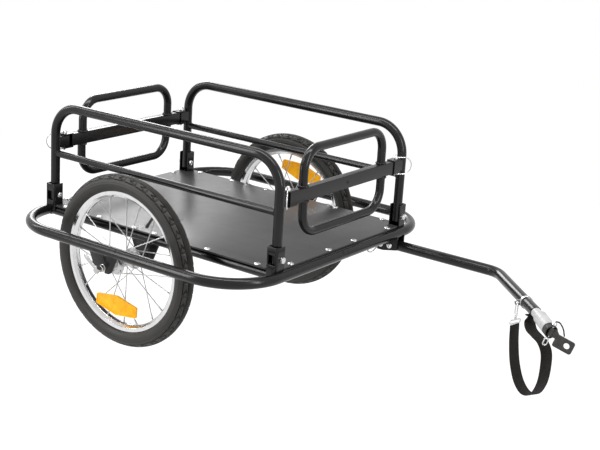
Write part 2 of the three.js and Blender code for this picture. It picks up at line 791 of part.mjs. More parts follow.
function quickRelease(side) {
  const capEnd = hoopHalfWidth + plateThickness / 2 + fit + axleNutLength;
  const across = at(0, 0, 1);
  const arm = new BentRoute([
    at(0, 0, 0), at(leverLength / 2, leverRise, 0), at(leverLength, leverRise, 0)], leverLength, 4);
  const stations = arm.stations.map((station) => ({ ...station, across }));
  const paddle = sweptFlat(boxShape(leverPaddle, leverThickness, leverThickness / 4), stations);
  const lever = geometryOf(join(solid(rod(leverBarrelRadius, leverWidth, 'z', at(0, 0, 0))), solid(paddle)));
  if (side < 0) lever.rotateX(Math.PI);
  lever.rotateY(-leverAngle);
  return lever.translate(wheelX, side * (capEnd + fit + leverBarrelRadius), axleZ);
}

// A flat section swept through stations; its x side lies along each station's across direction

function sweptFlat(section, stations) {
  const outline = section.getPoints(1).filter((point, i, points) => (
    point.distanceTo(points[(i + 1) % points.length]) > weldTolerance));
  if (THREE.ShapeUtils.isClockWise(outline)) outline.reverse();
  const positions = [];
  for (const { point, tangent, across } of stations) {
    const up = new THREE.Vector3().crossVectors(tangent, across).normalize();
    const flat = new THREE.Vector3().crossVectors(up, tangent).normalize();
    for (const corner of outline) {
      const place = point.clone().addScaledVector(flat, corner.x).addScaledVector(up, corner.y);
      positions.push(place.x, place.y, place.z);
    }
  }
  const count = outline.length;
  const lastRow = (stations.length - 1) * count;
  const index = [];
  for (let row = 0; row < lastRow; row += count) {
    for (let i = 0; i < count; i += 1) {
      const a = row + i;
      const b = row + ((i + 1) % count);
      index.push(a, b, b + count, a, b + count, a + count);
    }
  }
  for (const [a, b, c] of THREE.ShapeUtils.triangulateShape(outline, [])) {
    index.push(a, c, b, lastRow + a, lastRow + b, lastRow + c);
  }
  const geometry = new THREE.BufferGeometry();
  geometry.setAttribute('position', new THREE.Float32BufferAttribute(positions, 3));
  geometry.setIndex(index);
  return geometryOf(solid(geometry));
}

// Wheel reflector: a curved plate carried on the outer side of the spokes

function wheelReflector(side, middleAngle) {
  const shape = new THREE.Shape();
  const from = middleAngle - reflectorHalfAngle;
  const to = middleAngle + reflectorHalfAngle;
  const corner = reflectorHalfAngle / 4;
  shape.absarc(0, 0, reflectorOuter, from + corner, to - corner, false);
  shape.absarc(0, 0, reflectorInner, to, from, true);
  const plate = new THREE.ExtrudeGeometry(
    shape, { depth: reflectorThickness, bevelEnabled: false, curveSegments: 6 });
  plate.rotateX(Math.PI / 2);
  const y = side > 0 ? reflectorStandOff + reflectorThickness : -reflectorStandOff;
  return plate.translate(wheelX, side * wheelY + y, axleZ);
}

function buildWheels() {
  for (const [name, side, reflectorAngle] of [['left', 1, 62 * degree], ['right', -1, 257 * degree]]) {
    const place = at(wheelX, side * wheelY, axleZ);
    addPiece(`tyre_${name}`, turned(tyreProfile(), wheelSteps, 'y', place), rubber);
    addPiece(`rim_${name}`, turned(rimProfile(), wheelSteps, 'y', place), alloy);
    addPiece(`hub_and_spokes_${name}`, hubAndSpokes(place), alloy);
    addPiece(`wheel_reflector_${name}`, wheelReflector(side, reflectorAngle), amber);
    const axle = turned(axleProfile(), smallSides, 'y', at(0, 0, 0));
    if (side < 0) axle.rotateZ(Math.PI);
    axle.translate(place.x, place.y, place.z);
    addPiece(`axle_${name}`, axle, zinc);
    addPiece(`quick_release_${name}`, quickRelease(side), alloy);
    addPiece(`axle_plate_outer_${name}`, axlePlate(side * hoopHalfWidth, hoopZ - hoopRadius - fit), blackPaint);
    addPiece(`axle_plate_inner_${name}`, axlePlate(side * sideTubeY, hoopZ - sideTube / 2 - fit), blackPaint);
  }
}

// Towbar bracket: two flanges coped to the front crossbar, with a web folded under the tube's tail

function towbarBracket() {
  const inner = towbarTube / 2 + towBracketGap;
  const outer = inner + towBracketSheet;
  const fold = new THREE.Shape();
  fold.moveTo(-outer, -outer).lineTo(outer, -outer).lineTo(outer, towBracketHorn).lineTo(inner, towBracketHorn);
  fold.lineTo(inner, -inner).lineTo(-inner, -inner).lineTo(-inner, towBracketHorn);
  fold.lineTo(-outer, towBracketHorn);
  const length = towBracketFrontX - towBracketRearX;
  const middle = at((towBracketFrontX + towBracketRearX) / 2, towbarY, towbarZ);
  const side = new THREE.Shape();
  side.moveTo(-outer, 0).lineTo(-outer, towBracketWebLength).lineTo(-towBracketBelow, length);
  side.lineTo(towBracketHorn, length).lineTo(towBracketHorn, outer).lineTo(0, 0);
  const outline = prism(side, 2 * (outer + overrun), 'y', at(towBracketRearX, towbarY, towbarZ));
  const folded = solid(prism(fold, length, 'x', middle)).intersect(solid(outline));
  const hole = (x) => solid(rod(towBolt / 2 + fit, 2 * (outer + overrun), 'y', at(x, towbarY, towbarZ)));
  return cut(folded, hole(towBoltX), hole(towPinX), hoopClearance(1), sideClearance(1));
}

function crankDirection() {
  return at(Math.cos(towbarCrank), -Math.sin(towbarCrank), 0);
}

// A place on the crank's axis, measured from the end of the towbar's tube

function crankPlace(distance) {
  const corner = at(towbarCornerX, towbarY, towbarZ);
  return corner.addScaledVector(crankDirection(), towbarCrankLength + distance);
}

function towbarRoute() {
  return new BentRoute([
    at(towbarTailX - towbarTube, towbarY, towbarZ), at(towbarCornerX, towbarY, towbarZ), crankPlace(0)], towbarBend);
}

function buildTowbar() {
  const halfSpan = towbarTube / 2 + towBracketGap + towBracketSheet;
  addPiece('towbar_bracket', towbarBracket(), blackPaint);
  const mitre = at(Math.cos(towbarMitre), 0, -Math.sin(towbarMitre));
  const tube = solid(pipe(towbarTube, towbarWall, towbarRoute()))
    .trimByPlane(mitre.toArray(), mitre.dot(at(towbarTailX, towbarY, towbarZ)));
  const hole = (x) => solid(rod(towBolt / 2 + fit, towbarTube + overrun, 'y', at(x, towbarY, towbarZ)));
  addPiece('towbar_tube', cut(tube, hole(towBoltX), hole(towPinX)), blackPaint);
  const bolt = turned(boltProfile(towBolt / 2, halfSpan + fit), smallSides, 'y', at(towBoltX, towbarY, towbarZ));
  addPiece('towbar_pivot_bolt', bolt, zinc);
  const pin = lockPin(2 * (halfSpan + fit) + pinPointLength).rotateX(Math.PI / 2);
  pin.translate(towPinX, towbarY - halfSpan - fit, towbarZ);
  addPiece('towbar_lock_pin', pin, zinc);
}

// A closed link of wire whose two ends lie inside the piece that carries it

function wireLink(start, direction, across, length, width, wire) {
  const out = (distance, offset) => (
    start.clone().addScaledVector(direction, distance).addScaledVector(across, offset));
  const half = width / 2;
  return solid(pipe(wire, 0, new BentRoute([
    out(0, weldSink), out(0, half), out(length, half), out(length, -half), out(0, -half), out(0, -weldSink),
  ], half - wire / 4, ringSteps), wireSides));
}

// Lock pin: a collared pin whose pull knob carries a drooping wire ring; made along +Z

function lockPin(length) {
  const shank = towBolt / 2;
  const body = solid(turned([
    [0, -length], [shank / 2, -length], [shank, pinPointLength - length], [shank, 0], [lockCollarRadius, 0],
    [lockCollarRadius, lockCollarHeight], [lockKnobRadius, lockCollarHeight], [lockKnobRadius, lockKnobLength],
    [0, lockKnobLength],
  ], smallSides, 'z', at(0, 0, 0)));
  const direction = at(0, -Math.sin(lockRingDroop), Math.cos(lockRingDroop));
  const start = at(0, 0, lockKnobLength - ringPlay);
  return geometryOf(join(body, wireLink(start, direction, at(1, 0, 0), lockRingLength, lockRingWidth, ringWire)));
}

// Hitch pieces are made along +Z, with the tongue's width along X, and then laid along the crank.
// Beyond the neck the hitch droops, so its direction is a little below the crank's.

function layAlong(geometry, direction, place) {
  const across = at(Math.sin(towbarCrank), Math.cos(towbarCrank), 0);
  const up = new THREE.Vector3().crossVectors(direction, across);
  const wide = across.multiplyScalar(Math.cos(hitchRoll)).addScaledVector(up, Math.sin(hitchRoll));
  const normal = new THREE.Vector3().crossVectors(direction, wide);
  geometry.applyMatrix4(new THREE.Matrix4().makeBasis(wide, normal, direction));
  return geometry.translate(place.x, place.y, place.z);
}

function layOnHitch(geometry, distance) {
  const direction = crankDirection().multiplyScalar(Math.cos(hitchDroop)).setZ(-Math.sin(hitchDroop));
  const place = crankPlace(neckLength).addScaledVector(direction, distance - neckLength);
  return layAlong(geometry, direction, place);
}

function hitchSleeve() {
  const boreFit = (towbarTube / 2 - towbarWall) * Math.cos(Math.PI / roundSides) - fit;
  const neck = turned([
    [0, -neckSocket], [boreFit, -neckSocket], [boreFit, fit], [neckRadius, fit],
    [neckRadius, neckLength + neckSink], [0, neckLength + neckSink],
  ], roundSides, 'z', at(0, 0, 0));
  const body = turned([
    [0, 0], [neckRadius, 0], [sleeveRadius, sleeveConeLength], [sleeveRadius, sleeveLength], [0, sleeveLength],
  ], roundSides, 'z', at(0, 0, 0));
  return geometryOf(join(
    solid(layAlong(neck, crankDirection(), crankPlace(0))), solid(layOnHitch(body, neckLength))));
}

function buildHitch() {
  const end = neckLength + sleeveLength + fit;
  addPiece('hitch_sleeve', hitchSleeve(), alloy);
  addPiece('hitch_bush', layOnHitch(hitchBush(), end), rubber);
  addPiece('hitch_tongue', layOnHitch(hitchTongue(), end + hitchPinZ), blackSteel);
  addPiece('hitch_pin', layOnHitch(hitchPin(), end + hitchPinZ), zinc);
  addPiece('pin_tether', layOnHitch(pinTether(), end + hitchPinZ), webbing);
}

// Hitch pin: a headed pin across the bush, with a wire link through its far end

function hitchPin() {
  const length = 2 * (bushRadius + fit) + hitchPinPast;
  const radius = hitchPinDiameter / 2;
  const body = solid(turned([
    [0, -length], [radius, -length], [radius, 0], [hitchPinHeadRadius, 0],
    [hitchPinHeadRadius, hitchPinHeadHeight], [0, hitchPinHeadHeight],
  ], smallSides, 'z', at(0, 0, 0)));
  const start = at(0, 0, ringPlay - length);
  const link = wireLink(start, at(0, 0, -1), at(0, 1, 0), hitchLinkLength, hitchLinkWidth, ringWire);
  return geometryOf(join(body, link)).rotateY(Math.PI / 2).translate(bushRadius + fit, 0, 0);
}

// Bush: a thick disc with a slot for the tongue's eye, open on the side the tongue lies down to,
// and a cross hole for the hitch pin

function hitchBush() {
  const disc = rod(bushRadius, bushLength, 'z', at(0, 0, bushLength / 2), roundSides);
  const slotHalf = tongueEye / 2 + 2 * fit;
  const slotWidth = tongueRootWidth + 2 * fit;
  const slot = prism(boxShape(slotWidth, 2 * slotHalf), bushLength, 'z',
    at(0, 0, hitchPinZ - slotHalf + bushLength / 2));
  const half = tongueThickness / 2;
  const rise = (slotHalf - half * Math.cos(tongueTilt)) / Math.tan(tongueTilt) - half * Math.sin(tongueTilt) - fit;
  const relief = prism(boxShape(slotWidth, 2 * bushRadius), bushLength, 'z',
    at(0, -bushRadius, hitchPinZ + rise + bushLength / 2));
  const pinHoleCutter = rod(hitchPinDiameter / 2 + fit, 2 * (bushRadius + overrun), 'x', at(0, 0, hitchPinZ));
  return geometryOf(cut(solid(disc), solid(slot), solid(relief), solid(pinHoleCutter)));
}

// Tongue: a flat plate with a hole for the bicycle's axle and a rolled eye for the hitch pin

function hitchTongue() {
  const blade = boxShape(tongueWidth, tongueLength - tongueShoulder, tongueCorner);
  const plate = prism(blade, tongueThickness, 'z', at(0, 0, 0));
  plate.rotateX(Math.PI / 2);
  plate.translate(tongueOffset, 0, (tongueLength + tongueShoulder) / 2);
  const rootLength = tongueShoulder + tongueCorner;
  const root = prism(boxShape(tongueRootWidth, tongueThickness), rootLength, 'z', at(0, 0, rootLength / 2));
  const eye = rod(tongueEye / 2, tongueRootWidth, 'x', at(0, 0, 0), roundSides);
  const holePlace = at(tongueOffset, 0, tongueLength - tongueHoleFromTip);
  const axleHole = rod(tongueHole / 2, 2 * tongueEye, 'y', holePlace, roundSides);
  const eyeHole = rod(hitchPinDiameter / 2 + fit, 2 * tongueWidth, 'x', at(0, 0, 0));
  const body = cut(join(solid(plate), solid(root), solid(eye)), solid(axleHole), solid(eyeHole));
  return geometryOf(body).rotateX(tongueTilt);
}

// Tether: a short cord that bows from the hitch pin's head to the edge of the tongue

function pinTether() {
  const headX = bushRadius + 2 * fit + hitchPinHeadHeight + tetherDiameter / 2;
  const edgeX = tongueOffset + tongueWidth / 2 + fit + tetherDiameter / 2;
  const curve = new THREE.CatmullRomCurve3([
    at(headX, 0, 0),
    at(headX + tetherBow, 0, tetherReach / 4),
    at((headX + edgeX) / 2 + 2 * tetherBow, 0, tetherReach / 1.5),
    at(edgeX, 0, tetherReach),
  ]);
  const cord = discShape(tetherDiameter / 2, wireSides);
  return new THREE.ExtrudeGeometry(cord, { steps: 12, extrudePath: curve }).rotateX(tongueTilt);
}

// Strap clamp: a band round the towbar with an ear for the snap hook

function strapClamp() {
  const bore = towbarTube / 2 + fit;
  const outer = bore + clampThickness;
  const eye = outer + clampEye;
  const band = rod(outer, clampLength, 'z', at(0, 0, 0), roundSides);
  const ear = rod(clampEye, clampEarThickness, 'z', at(-eye, 0, 0));
  const neck = prism(boxShape(eye, 2 * clampEye), clampEarThickness, 'z', at(-eye / 2, 0, 0));
  const tube = rod(bore, 2 * clampLength, 'z', at(0, 0, 0), roundSides);
  const hole = rod(clampEyeHole, 2 * clampEarThickness, 'z', at(-eye, 0, 0));
  const body = cut(join(solid(band), solid(ear), solid(neck)), solid(tube), solid(hole));
  const direction = crankDirection();
  const across = at(Math.sin(towbarCrank), Math.cos(towbarCrank), 0);
  const geometry = geometryOf(body);
  geometry.applyMatrix4(new THREE.Matrix4().makeBasis(across, at(0, 0, 1), direction));
  const place = crankPlace(-clampFromEnd);
  return geometry.translate(place.x, place.y, place.z);
}

// Where the clamp's ear has its eye, and the height at which a wire hangs in it

function hookPlace() {
  const eye = towbarTube / 2 + fit + clampThickness + clampEye;
  const seat = clampEyeHole * Math.cos(Math.PI / smallSides) - hookWire / 2 - fit;
  const place = crankPlace(-clampFromEnd);
  place.addScaledVector(at(Math.sin(towbarCrank), Math.cos(towbarCrank), 0), -eye);
  place.z -= seat;
  return place;
}

const hookSlideMiddle = hookLength + hookBarrel + (slideHeight - slideWire) / 2;

// Snap hook: a wire loop through the clamp's ear, a swivel barrel and a flat slide for the strap

function snapHook() {
  const across = at(Math.cos(towbarCrank), -Math.sin(towbarCrank), 0);
  const loop = wireLink(at(0, 0, -hookLength), at(0, 0, 1), across, hookLength, hookWidth, hookWire);
  const barrel = rod(hookWire, hookBarrel + hookWire, 'z', at(0, 0, -hookLength - (hookBarrel - hookWire) / 2));
  const slideShape = boxShape(slideLength, slideHeight, slideWire);
  slideShape.holes.push(boxShape(slideLength - 2 * slideWire, slideHeight - 2 * slideWire));
  const slide = prism(slideShape, slideWire, 'z', at(0, 0, 0));
  slide.rotateX(Math.PI / 2);
  slide.rotateZ(Math.atan2(strapTopAcross.y, strapTopAcross.x));
  slide.translate(0, 0, -hookSlideMiddle);
  const place = hookPlace();
  return geometryOf(join(loop, solid(barrel), solid(slide))).translate(place.x, place.y, place.z);
}

// Safety strap: a flat web hanging from the hook's slide in a loop and caught under the towbar's end

function safetyStrap() {
  const start = hookPlace();
  start.z -= hookSlideMiddle + slideHeight / 2 + 4 * fit;
  const under = -towbarTube / 2 - 2 * fit - strapThickness / 2;
  const curve = new THREE.CatmullRomCurve3([
    start,
    ...strapPoints.map(([x, y, drop]) => at(x, y, hoopZ - drop)),
    crankPlace(-strapEndNear).add(at(0, 0, under)),
    crankPlace(-strapEndFar).add(at(0, 0, under)),
  ]);
  const steps = 34;
  const stations = Array.from({ length: steps + 1 }, (_, i) => ({
    point: curve.getPointAt(i / steps),
    tangent: curve.getTangentAt(i / steps),
    across: strapTopAcross.clone().lerp(strapLowAcross, Math.min(1, (2 * i) / steps)).normalize(),
  }));
  return sweptFlat(boxShape(strapWidth, strapThickness), stations);
}

function buildStrap() {
  addPiece('strap_clamp', strapClamp(), zinc);
  addPiece('snap_hook', snapHook(), zinc);
  addPiece('safety_strap', safetyStrap(), webbing);
}

buildHoop();
buildUnderDeck();
buildDeck();
buildCorners();
buildRails();
buildGates();
buildWheels();
buildTowbar();
buildHitch();
buildStrap();

export default trailer;
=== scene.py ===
# %% [markdown]
# # A two-wheeled cargo trailer for a bicycle
#
# The trailer's solids are already built, with the joints that move them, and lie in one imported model.
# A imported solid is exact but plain: it has no worked surface, no weld and no tread. This notebook
# lays a finely modelled piece over nearly every one of them, gives each piece the finish of the real
# one, and sets the camera and the light of a plain studio.
#
# Lengths in the cells are millimetres, and the finished meshes are metres. +X points forward to the
# bicycle, +Y to the left and +Z up, from the middle of the deck's top face.

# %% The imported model
import json
import math

import bmesh
import bpy
import numpy as np
from mathutils import Matrix, Vector
from mathutils.geometry import tessellate_polygon


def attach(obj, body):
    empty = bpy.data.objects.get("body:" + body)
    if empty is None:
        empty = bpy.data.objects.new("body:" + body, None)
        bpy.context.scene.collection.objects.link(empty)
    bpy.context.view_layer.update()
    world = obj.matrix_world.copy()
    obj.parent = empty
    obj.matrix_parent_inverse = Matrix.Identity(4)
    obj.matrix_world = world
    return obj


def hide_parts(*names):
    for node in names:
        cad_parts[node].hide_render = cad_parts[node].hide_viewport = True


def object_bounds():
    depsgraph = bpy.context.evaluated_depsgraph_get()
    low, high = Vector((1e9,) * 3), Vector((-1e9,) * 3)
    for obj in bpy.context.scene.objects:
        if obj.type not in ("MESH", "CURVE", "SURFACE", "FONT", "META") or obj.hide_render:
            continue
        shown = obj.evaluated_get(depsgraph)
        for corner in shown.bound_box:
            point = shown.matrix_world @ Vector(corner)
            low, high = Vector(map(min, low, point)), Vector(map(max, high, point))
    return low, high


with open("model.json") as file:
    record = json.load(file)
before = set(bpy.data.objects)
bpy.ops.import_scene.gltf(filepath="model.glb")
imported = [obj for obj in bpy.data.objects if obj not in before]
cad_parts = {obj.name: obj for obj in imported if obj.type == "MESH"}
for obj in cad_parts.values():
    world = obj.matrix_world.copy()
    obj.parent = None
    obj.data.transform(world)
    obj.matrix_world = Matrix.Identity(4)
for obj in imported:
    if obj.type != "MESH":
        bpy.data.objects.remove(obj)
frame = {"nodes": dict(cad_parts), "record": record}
model_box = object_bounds()

BODY_OF = {
    node: body
    for body, nodes in frame["record"]["behaviour"]["bodies"].items()
    for node in nodes
}

print(f"{len(BODY_OF)} packed nodes ride on {len(set(BODY_OF.values()))} bodies")

# %% [markdown]
# Most of the trailer exists four times or twice: left and right, front and rear. A piece is written
# once, for one place, and a sign of 1 or -1 carries it to the others. `HOOP_Z` is the height of the
# middle of the outer hoop, from which the other heights are counted.

# %% Names that every cell uses
MM = 0.001
FIT = 0.3
THIN_WALL = 1.5
HOOP_Z = -16.8
SIDES = (("left", 1), ("right", -1))
ENDS = (("front", 1), ("rear", -1))

print(f"the hoop's middle lies {-HOOP_Z} mm under the deck's top")

# %% [markdown]
# ## Camera
#
# The camera stands at the photograph's own viewing angle: in front of the trailer and to its right,
# a little above it and rolled by a few degrees. An aim constraint could point it, but a constraint
# keeps the horizon level. So its three axes are worked out from the angles and written as a matrix.

# %% Camera
AZIMUTH = math.radians(35.48)
ELEVATION = math.radians(16.80)
ROLL = math.radians(3.58)
CAMERA_PLACE = (1.9260, -2.3922, 0.9079)
SENSOR_WIDTH = 36
LENS = 79.92


def camera_axes():
    """The camera's right, up and back axes, from its azimuth, elevation and roll."""
    back = Vector((
        math.sin(AZIMUTH) * math.cos(ELEVATION),
        -math.cos(AZIMUTH) * math.cos(ELEVATION),
        math.sin(ELEVATION),
    ))
    level = Vector((math.cos(AZIMUTH), math.sin(AZIMUTH), 0))
    upright = back.cross(level)
    right = level * math.cos(ROLL) + upright * math.sin(ROLL)
    above = upright * math.cos(ROLL) - level * math.sin(ROLL)
    return right, above, back


def make_camera():
    data = bpy.data.cameras.new("photo_camera")
    data.sensor_width = SENSOR_WIDTH
    data.lens = LENS
    camera = bpy.data.objects.new("photo_camera", data)
    bpy.context.collection.objects.link(camera)
    rows = [(*row, place) for row, place in zip(zip(*camera_axes()), CAMERA_PLACE)]
    camera.matrix_world = Matrix((*rows, (0, 0, 0, 1)))
    bpy.context.scene.camera = camera


make_camera()
print(f"camera {Vector(CAMERA_PLACE).length:.2f} m from the deck, with a lens of {LENS} mm")

# %% [markdown]
# ## Surfaces from numbers
#
# Every new piece is a surface that is worked out as whole arrays of points. A `Shell` gathers the
# points, the faces and one texture coordinate per face corner. Its main tool is `skin`, which joins
# rows of points into quads: a tube, a turned part and a tyre are all skins. Blender's own curves and
# Screw modifier could make some of these, but a grid of points also takes a tread, a weld's lumps or
# a coped end, and it says in one formula what the shape is.

# %% Shell
def spot(x, y, z):
    return np.array((x, y, z), dtype=float)


def unit(vectors):
    """One vector, or each row of vectors, made one long."""
    return vectors / np.linalg.norm(vectors, axis=-1, keepdims=True)


class Shell:
    """Points in millimetres, faces as tuples of point numbers, and one (u, v) per face corner."""

    def __init__(self):
        self.points = np.zeros((0, 3))
        self.faces = []
        self.uvs = []

    def skin(self, rows, wrap=False):
        """Quads between rows of points, each row closed on itself; wrap joins the last to the first.

        u runs along a row and v from row to row, both as lengths in millimetres.
        """
        rows = np.asarray(rows, dtype=float)
        row_count, column_count = rows.shape[:2]
        base = len(self.points)
        steps = np.linalg.norm(np.roll(rows, -1, axis=1) - rows, axis=2).mean(axis=0)
        u = np.concatenate([[0], np.cumsum(steps)])
        travel = np.linalg.norm(np.roll(rows, -1, axis=0) - rows, axis=2).mean(axis=1)
        v = np.concatenate([[0], np.cumsum(travel)])
        last = row_count if wrap else row_count - 1
        a, i = np.meshgrid(np.arange(last), np.arange(column_count), indexing="ij")
        a, i = a.ravel(), i.ravel()
        b, j = (a + 1) % row_count, (i + 1) % column_count
        quads = np.stack([a * column_count + i, a * column_count + j,
                          b * column_count + j, b * column_count + i], axis=1) + base
        corners = np.stack([u[i], v[a], u[i + 1], v[a], u[i + 1], v[a + 1], u[i], v[a + 1]], axis=1)
        self.points = np.vstack([self.points, rows.reshape(-1, 3)])
        self.faces.extend(map(tuple, quads.tolist()))
        self.uvs.extend(corners.reshape(-1, 2).tolist())
        return self

    def face(self, points, flat=(0, 1)):
        """One flat face through points; its texture coordinates are two of their own coordinates."""
        points = np.asarray(points, dtype=float)
        base = len(self.points)
        self.points = np.vstack([self.points, points])
        self.faces.append(tuple(range(base, base + len(points))))
        self.uvs.extend(points[:, list(flat)].tolist())
        return self

    def join(self, *others):
        """Adds copies of other shells."""
        for other in others:
            base = len(self.points)
            self.points = np.vstack([self.points, other.points])
            self.faces.extend(tuple(number + base for number in face) for face in other.faces)
            self.uvs.extend(other.uvs)
        return self

    def turn(self, axes, origin=(0, 0, 0)):
        """Lays the shell's x, y and z along three axes and moves it to an origin."""
        self.points = self.points @ np.asarray(axes, dtype=float) + np.asarray(origin, dtype=float)
        return self

    def move(self, x, y, z):
        self.points = self.points + spot(x, y, z)
        return self

    def mirror(self, x=1, y=1, z=1):
        """Multiplies each coordinate by its sign; the faces are turned outwards later."""
        self.points = self.points * spot(x, y, z)
        return self


# %% [markdown]
# Many parts are drawn along their own z and then laid down. The names below say where the part's
# x, y and z go: along the trailer, across it, or standing up.

# %% Directions a part can be laid in
ALONG_X = ((0, 1, 0), (0, 0, 1), (1, 0, 0))
ALONG_Y = ((0, 0, 1), (1, 0, 0), (0, 1, 0))
ALONG_Z = ((1, 0, 0), (0, 1, 0), (0, 0, 1))
DRAWN_UPRIGHT = ((1, 0, 0), (0, 0, 1), (0, 1, 0))

# %% [markdown]
# ## Lines
#
# The trailer's tubes are bent cold round a former, so each is a straight run, an arc and a straight
# run. A Bezier curve would only come near that, so the arcs are written as arcs. A section that
# follows a line needs a side and an up direction at every point. Taking them from a fixed axis twists
# the section at a bend, so the side is carried along from point to point instead.

# %% Arcs, rounded lines and carried frames
LEAST_ARC_STEPS = 4


def full_turn(steps):
    """Angles round a circle, evenly spaced, without the last that would repeat the first."""
    return np.linspace(0, 2 * math.pi, steps, endpoint=False)


def turn_at(before, corner, after):
    """The angle by which a line turns at a corner."""
    return math.acos(float(np.clip(unit(corner - before) @ unit(after - corner), -1, 1)))


def corner_arc(before, corner, after, bend, count):
    """The arc that rounds a corner: p(a) = centre + outward*cos(a) + ahead*r*sin(a), a from 0 to t.

    Where the line turns by an angle t, an arc of radius r starts r*tan(t/2) before the corner.
    """
    ahead, beyond = unit(corner - before), unit(after - corner)
    turn = turn_at(before, corner, after)
    centre = corner + unit(beyond - ahead) * bend / math.cos(turn / 2)
    outward = corner - ahead * bend * math.tan(turn / 2) - centre
    angles = np.linspace(0, turn, count + 1)[:, None]
    return centre + outward * np.cos(angles) + ahead * bend * np.sin(angles)


def bent_route(corners, bend, step=4.0):
    """Points along a line whose corners are arcs, with a point about every step of arc."""
    corners = np.asarray(corners, dtype=float)
    points = [corners[:1]]
    for before, corner, after in zip(corners, corners[1:], corners[2:]):
        count = max(LEAST_ARC_STEPS, int(bend * turn_at(before, corner, after) / step))
        points.append(corner_arc(before, corner, after, bend, count))
    points.append(corners[-1:])
    return np.vstack(points)


def travel_along(points, wrap=False):
    """How far along its line each point lies; a closed line ends with its whole length."""
    points = np.vstack([points, points[:1]]) if wrap else np.asarray(points)
    return np.concatenate([[0], np.cumsum(np.linalg.norm(np.diff(points, axis=0), axis=1))])


def carried_frames(points, wrap=False):
    """A tangent, a side and an up vector at each point; the side is carried along without twisting.

    Each side is the one before it, less the part that lies along the new tangent.
    """
    if wrap:
        tangents = np.roll(points, -1, axis=0) - np.roll(points, 1, axis=0)
    else:
        tangents = np.gradient(points, axis=0)
        steps = unit(np.diff(points, axis=0))
        tangents[1:-1] = steps[:-1] + steps[1:]
    tangents = unit(tangents)
    hint = spot(0, 0, 1) if abs(tangents[0][2]) < 0.9 else spot(1, 0, 0)
    side = np.cross(tangents[0], hint)
    sides = []
    for tangent in tangents:
        side = unit(side - tangent * (side @ tangent))
        sides.append(side)
    sides = np.array(sides)
    return tangents, sides, np.cross(tangents, sides)


# %% [markdown]
# ## Tubes and wires
#
# A tube is a circle carried along a line, once at the outer radius and back at the inner one, so it
# is open at both ends like the real one. A wire is solid and its ends are rounded over. Where a tube
# is welded to another, its end is cut to a saddle: each line of its wall stops where it meets the
# other tube, at half that tube's chord from its axis.

# %% Tubes and wires
ROUND_OVER = 0.35
CHAMFER = 0.3


def ring_rows(points, radii, side_count, wrap=False):
    """Circles round a line: p + r*(side*cos(a) + up*sin(a))."""
    sides, ups = carried_frames(points, wrap)[1:]
    angles = full_turn(side_count)[:, None]
    radii = np.broadcast_to(radii, len(points))[:, None, None]
    return points[:, None] + radii * (sides[:, None] * np.cos(angles) + ups[:, None] * np.sin(angles))


def wire(points, radius, side_count=14, wrap=False):
    """A solid round wire along a line; it is closed on itself, or its ends are rounded to a point."""
    points = np.asarray(points, dtype=float)
    if wrap:
        return Shell().skin(ring_rows(points, radius, side_count, True), wrap=True)
    tangents = carried_frames(points)[0]
    start, end = tangents[0] * radius * ROUND_OVER, tangents[-1] * radius * ROUND_OVER
    line = np.vstack([points[0], points[0] + start * 0.01, points[0] + start, points[1:-1],
                      points[-1] - end, points[-1] - end * 0.01, points[-1]])
    radii = np.full(len(line), float(radius))
    radii[[1, -2]] = radius * (1 - ROUND_OVER)
    radii[[0, -1]] = 0
    return Shell().skin(ring_rows(line, radii, side_count))


def tube(points, radius, wall, side_count=36):
    """A hollow tube along a line, with a small chamfer on the rim of each end."""
    tangents = carried_frames(points)[0]
    chamfer = wall * CHAMFER
    line = np.vstack([points[0], points[0] + tangents[0] * chamfer, points[1:-1],
                      points[-1] - tangents[-1] * chamfer, points[-1]])
    radii = np.full(len(line), float(radius))
    radii[[0, -1]] = radius - chamfer
    outer = ring_rows(line, radii, side_count)
    inner = ring_rows(points, radius - wall, side_count)[::-1]
    return Shell().skin(np.concatenate([outer, inner]), wrap=True)


def coped_tube(radius, wall, end, side_count=40):
    """A straight tube along z, the same at both ends: end(x, y) is where its wall stops there."""
    angles = full_turn(side_count)
    rows = []
    for reach, sign in ((radius - wall, -1), (radius, -1), (radius, 1), (radius - wall, 1)):
        x, y = reach * np.cos(angles), reach * np.sin(angles)
        rows.append(np.stack([x, y, sign * end(x, y)], axis=1))
    return Shell().skin(rows, wrap=True)


def reach_of(radius, offset):
    """Half the chord of a round tube at an offset from its axis: sqrt(r^2 - offset^2)."""
    return np.sqrt(np.maximum(radius**2 - np.square(offset), 0))


def section_tube(outline, hole, length):
    """A straight tube of any section along z, centred on z = 0."""
    half = length / 2
    rows = [np.column_stack([loop, np.full(len(loop), z)])
            for loop, z in ((hole, -half), (outline, -half), (outline, half), (hole, half))]
    return Shell().skin(rows, wrap=True)


# %% [markdown]
# ## Turned parts and plates
#
# A bolt, a hub or a bush comes off a lathe, so it is a profile turned about z. A profile that starts
# and ends on the axis closes there, because points that fall together are merged. A bracket or a
# tongue is cut from sheet, so it is an outline with arcs at its corners, given a thickness. Blender's
# polygon filler divides its faces, since a face with a hole can't be one polygon.

# %% Turned parts, outlines and plates
def ring_at(radius, z=0, steps=48):
    """A ring of points: (r*cos(a), r*sin(a), z), with one radius or one for each point."""
    angles = full_turn(steps)
    return np.stack([radius * np.cos(angles), radius * np.sin(angles), np.full(steps, float(z))], axis=1)


def turned(profile, steps=64, wrap=False):
    """A turned part about z: (r*cos(a), r*sin(a), z) for every (r, z) of its profile."""
    return Shell().skin([ring_at(radius, z, steps) for radius, z in profile], wrap=wrap)


def rounded(corners, radius, steps=5):
    """A closed outline with an arc at each corner; radius is one number or one per corner."""
    corners = np.asarray(corners, dtype=float)
    radii = np.broadcast_to(radius, len(corners))
    rows = zip(np.roll(corners, 1, axis=0), corners, np.roll(corners, -1, axis=0), radii)
    return np.vstack([corner_arc(*row, steps) for row in rows])


